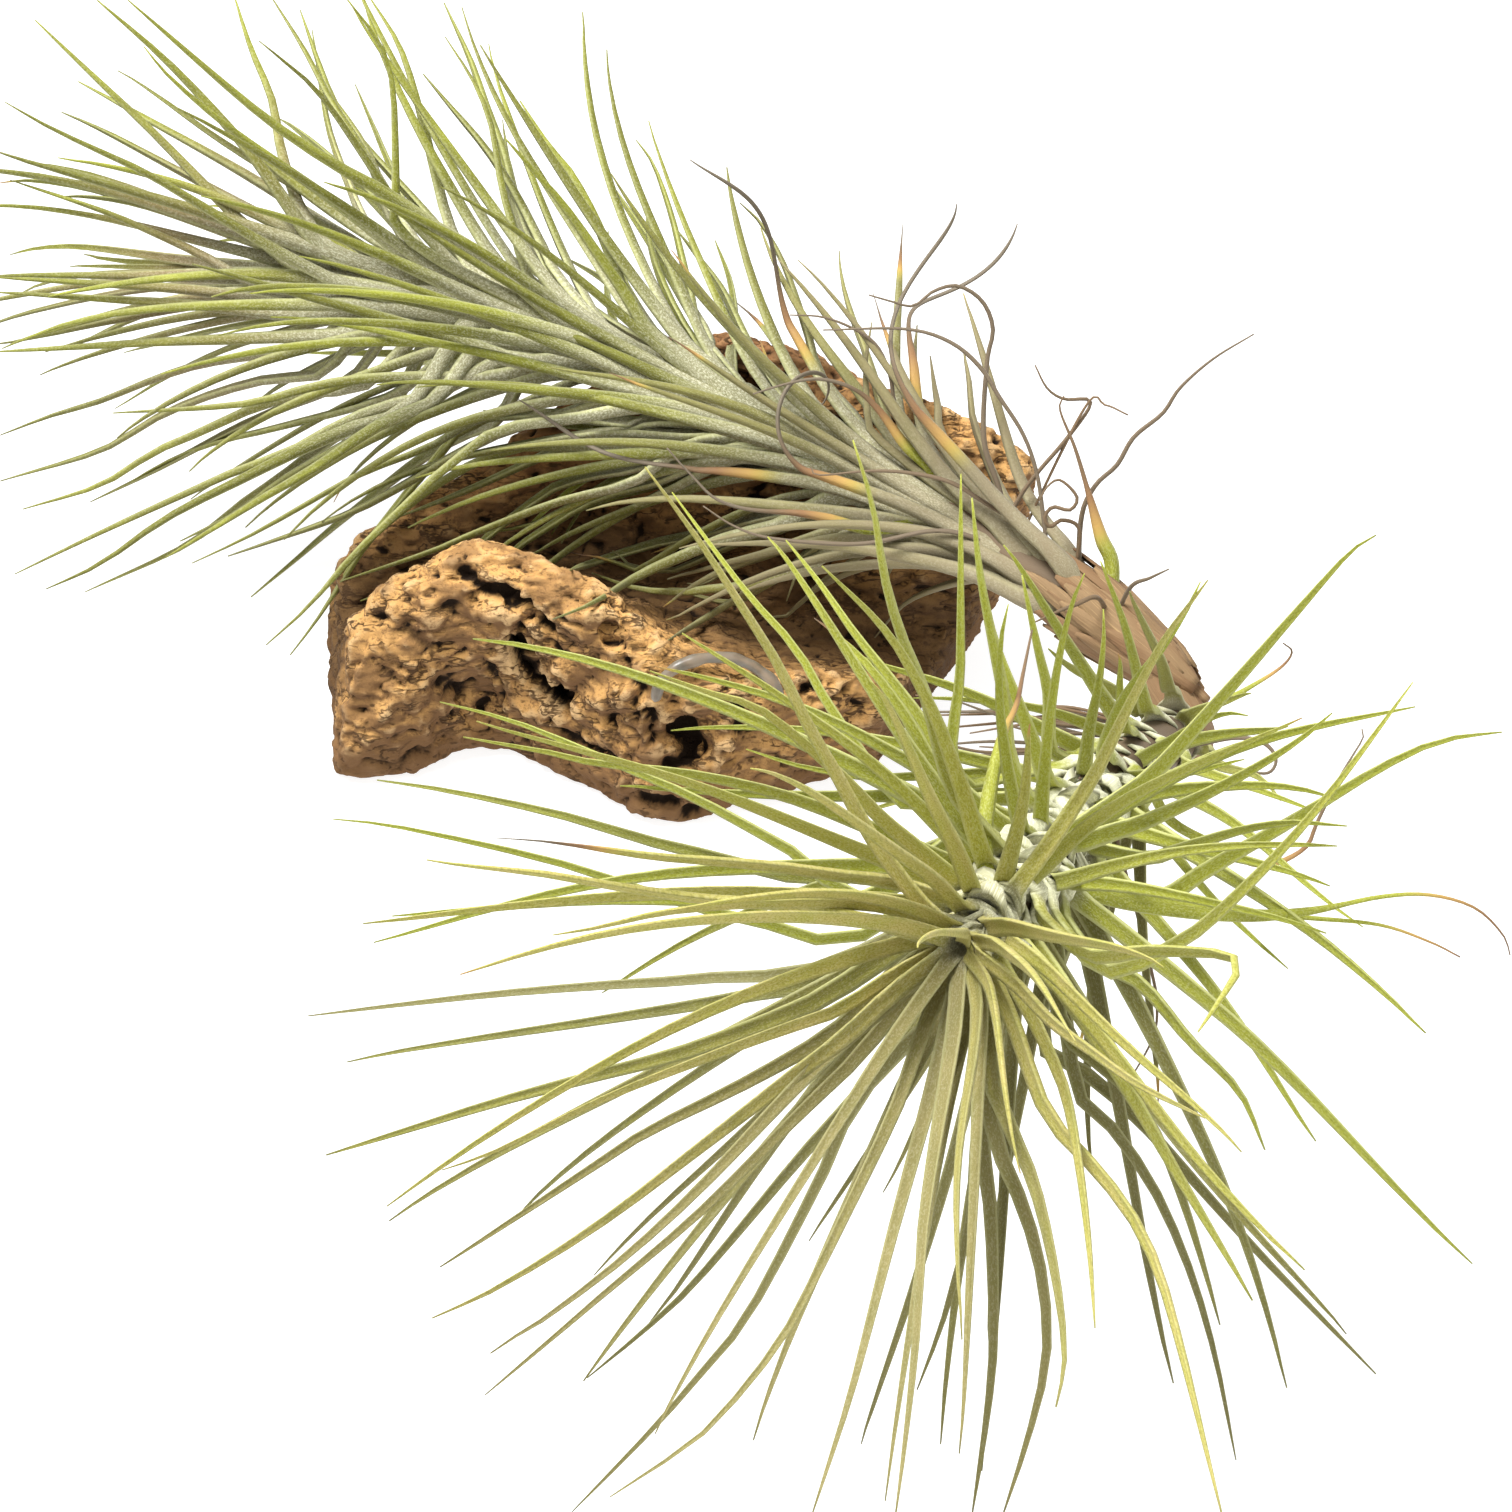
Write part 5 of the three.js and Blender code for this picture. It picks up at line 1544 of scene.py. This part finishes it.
def thin_lines(texture, width):
    """1 where a noise passes its middle, 0 a little way off."""
    return abs(texture - 0.5).step(width, width * 0.3)


def wood_finish():
    finish = Finish("weathered_cork", Specular_IOR_Level=0.12)
    place = finish.place()
    facts = ("cavity", "ridge", "pit", "crack", "split", "hollow")
    cavity, ridge, pit, crack, split, hollow = map(finish.fact, facts)
    patches = finish.noise(place, 95, 4, 0.6)
    blotches = finish.noise(place, 260, 3, 0.6, stretch=(0.6, 1, 1))
    grain = finish.noise(place, 1100, 5, 0.65, stretch=(0.3, 1, 1))
    fine = finish.noise(place, 3200, 3, 0.7)
    wrinkles = finish.noise(place, 520, 3, 0.6, stretch=(0.28, 1, 1))
    cracks = thin_lines(wrinkles, 0.035) * blotches.step(0.42, 0.6)
    flecks = finish.noise(place, 1500, 2, 0.4, stretch=(0.5, 1, 1)).step(0.6, 0.7)
    normal = finish.node("ShaderNodeNewGeometry", {}, {}, "Normal")
    up = finish.part(normal, "Z")
    behind = finish.part(place, "Y").step(*BEHIND_ZONE)
    low = finish.part(place, "Z").step(*FOOT_SHADE_ZONE)
    deep = cavity + pit * 0.7 + crack + split * 0.5 + (fine - 0.5) * 0.4
    colour = finish.layers(
        WOOD_BROWN,
        # Painted light: faces that point up are painted lighter tan, on top of the cork's own patches and
        # grain.
        (WOOD_TAN, (up * 0.7 + patches * 0.95 + grain * 0.4).step(0.55, 1.2)),
        # Towards the back the wood is painted darker and redder.
        (WOOD_RED, behind * (patches * 0.7 + 0.4)),
        # Painted highlight on the ridges, together with the grain's own lighter tone.
        (WOOD_GRAIN_AND_HIGHLIGHT, (ridge * 1.1 + grain * 0.7 + blotches * 0.3).step(0.7, 1.25) * (0.8 - behind * 0.5)),
        (WOOD_BROWN, (grain * 0.5 + fine * 0.6).step(0.56, 0.42) * 0.7),
        (WOOD_BROWN, blotches.step(0.5, 0.38) * 0.65),
        # Painted shade near the floor: the foot of the wood is painted brown.
        (WOOD_BROWN, low * 0.9),
        (WOOD_DEEP, flecks * 0.8),
        (WOOD_DEEP, cracks * 0.9),
        # The hollow is painted dark: painted shade under the long stem, on wood that is darker there too.
        (WOOD_DEEP, hollow * 0.85),
        # Painted shade: cavities, pits, cracks and splits are painted nearly black.
        (WOOD_RECESS_SHADE, deep.step(0.2, 0.85)),
    )
    finish.bump(grain * 0.55 + fine * 0.3 + wrinkles * 0.5 - cracks * 0.6, 0.6)
    return finish.paint(Base_Color=colour, Roughness=0.8 + grain * 0.15)


make_driftwood(wood_finish())

# %% [markdown]
# ## Clear glue
# Two dabs of glue hold the plant. One is hidden between the stem and the back crest. The other crosses
# the front crest as a translucent grey bead, a little uneven in girth, as it was squeezed out.

# %% Glue
GLUE_TINT = (0.46, 0.42, 0.35)
GLUE_CLOUD = (0.30, 0.26, 0.20)
BEAD_RINGS = 60
BEAD_STEPS = 20
BEAD_SIDES = 14
PAD_VOXEL = 0.35
PAD_SMOOTHING = 12


def glue_finish():
    finish = Finish("clear_glue", Transmission_Weight=0.7, IOR=1.46)
    cloud = finish.noise(finish.place(), 700, 3)
    colour = finish.colour(GLUE_TINT, GLUE_CLOUD, cloud.step(0.4, 0.7))
    finish.bump(cloud, 0.08)
    return finish.paint(Base_Color=colour, Roughness=0.22 + cloud * 0.2)


def make_bead(material):
    skin = Skin()
    share = np.linspace(0, 1, BEAD_RINGS)
    line = points_at(smooth_path(BEAD_PATH, BEAD_STEPS), share)
    ends = np.sqrt(np.clip(1 - (2 * share - 1) ** 16, 0.02, 1))
    girth = BEAD_RADIUS * ends * (1 + 0.1 * np.sin(share * 23) + 0.06 * np.sin(share * 51 + 1))
    skin.sweep(line, UP, girth, girth, circle(BEAD_SIDES))
    piece = skin.make("glue_bead_clear", material)
    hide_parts("glue_bead")


def make_pad(material):
    mesh = remeshed(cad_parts["glue_pad"], PAD_VOXEL)
    edges = read(mesh.edges, "vertices", 2)
    points = averaged(read(mesh.vertices, "co", 3) / MM, edges, PAD_SMOOTHING)
    mesh.vertices.foreach_set("co", (points * MM).ravel())
    piece = show(mesh, "glue_pad_clear", material)
    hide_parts("glue_pad")


glue_material = glue_finish()
make_bead(glue_material)
make_pad(glue_material)

# %% [markdown]
# ## Floor and light
# The photograph has a white ground and soft light from above. A wide pale floor under a bright, even
# sky gives that, and one large lamp from the upper left gives the wood and the leaves their form.

# %% Studio
FLOOR_SIDE = 6000
FLOOR_WHITE = (0.4, 0.4, 0.395)
FLOOR_GLOW = 0.84
WHITE = (1, 1, 1, 1)
SKY_STRENGTH = 0.52
LAMPS = [
    {"name": "key", "from": (-160, 50, 520), "side": 230, "watts": 5.6},
    {"name": "fill", "from": (260, -420, 300), "side": 420, "watts": 1.0},
]
LAMP_AIM = Vector((7, -25, 25))


def make_floor():
    finish = Finish(
        "pale_floor", Specular_IOR_Level=0.1, Emission_Color=WHITE, Emission_Strength=FLOOR_GLOW
    )
    grain = finish.noise(finish.place(), 60)
    material = finish.paint(Base_Color=FLOOR_WHITE, Roughness=0.8 + grain * 0.1)
    half = FLOOR_SIDE / 2 * MM
    mesh = bpy.data.meshes.new("floor")
    corners = [(-half, -half, 0), (half, -half, 0), (half, half, 0), (-half, half, 0)]
    mesh.from_pydata(corners, [], [(0, 1, 2, 3)])
    mesh.materials.append(material)
    floor = bpy.data.objects.new("floor", mesh)
    bpy.context.scene.collection.objects.link(floor)


def make_lamp(lamp):
    data = bpy.data.lights.new(lamp["name"], "AREA")
    data.shape = "SQUARE"
    data.size = lamp["side"] * MM
    data.energy = lamp["watts"]
    made = bpy.data.objects.new(lamp["name"], data)
    made.location = Vector(lamp["from"]) * MM
    aim = LAMP_AIM - Vector(lamp["from"])
    made.rotation_euler = aim.to_track_quat("-Z", "Y").to_euler()
    bpy.context.scene.collection.objects.link(made)


def make_sky():
    world = bpy.data.worlds.new("soft_sky")
    world.use_nodes = True
    background = world.node_tree.nodes["Background"]
    background.inputs["Color"].default_value = WHITE
    background.inputs["Strength"].default_value = SKY_STRENGTH
    bpy.context.scene.world = world


make_floor()
make_sky()
for lamp in LAMPS:
    make_lamp(lamp)
bpy.context.scene.view_settings.view_transform = "Standard"
print("lamps:", len(LAMPS))
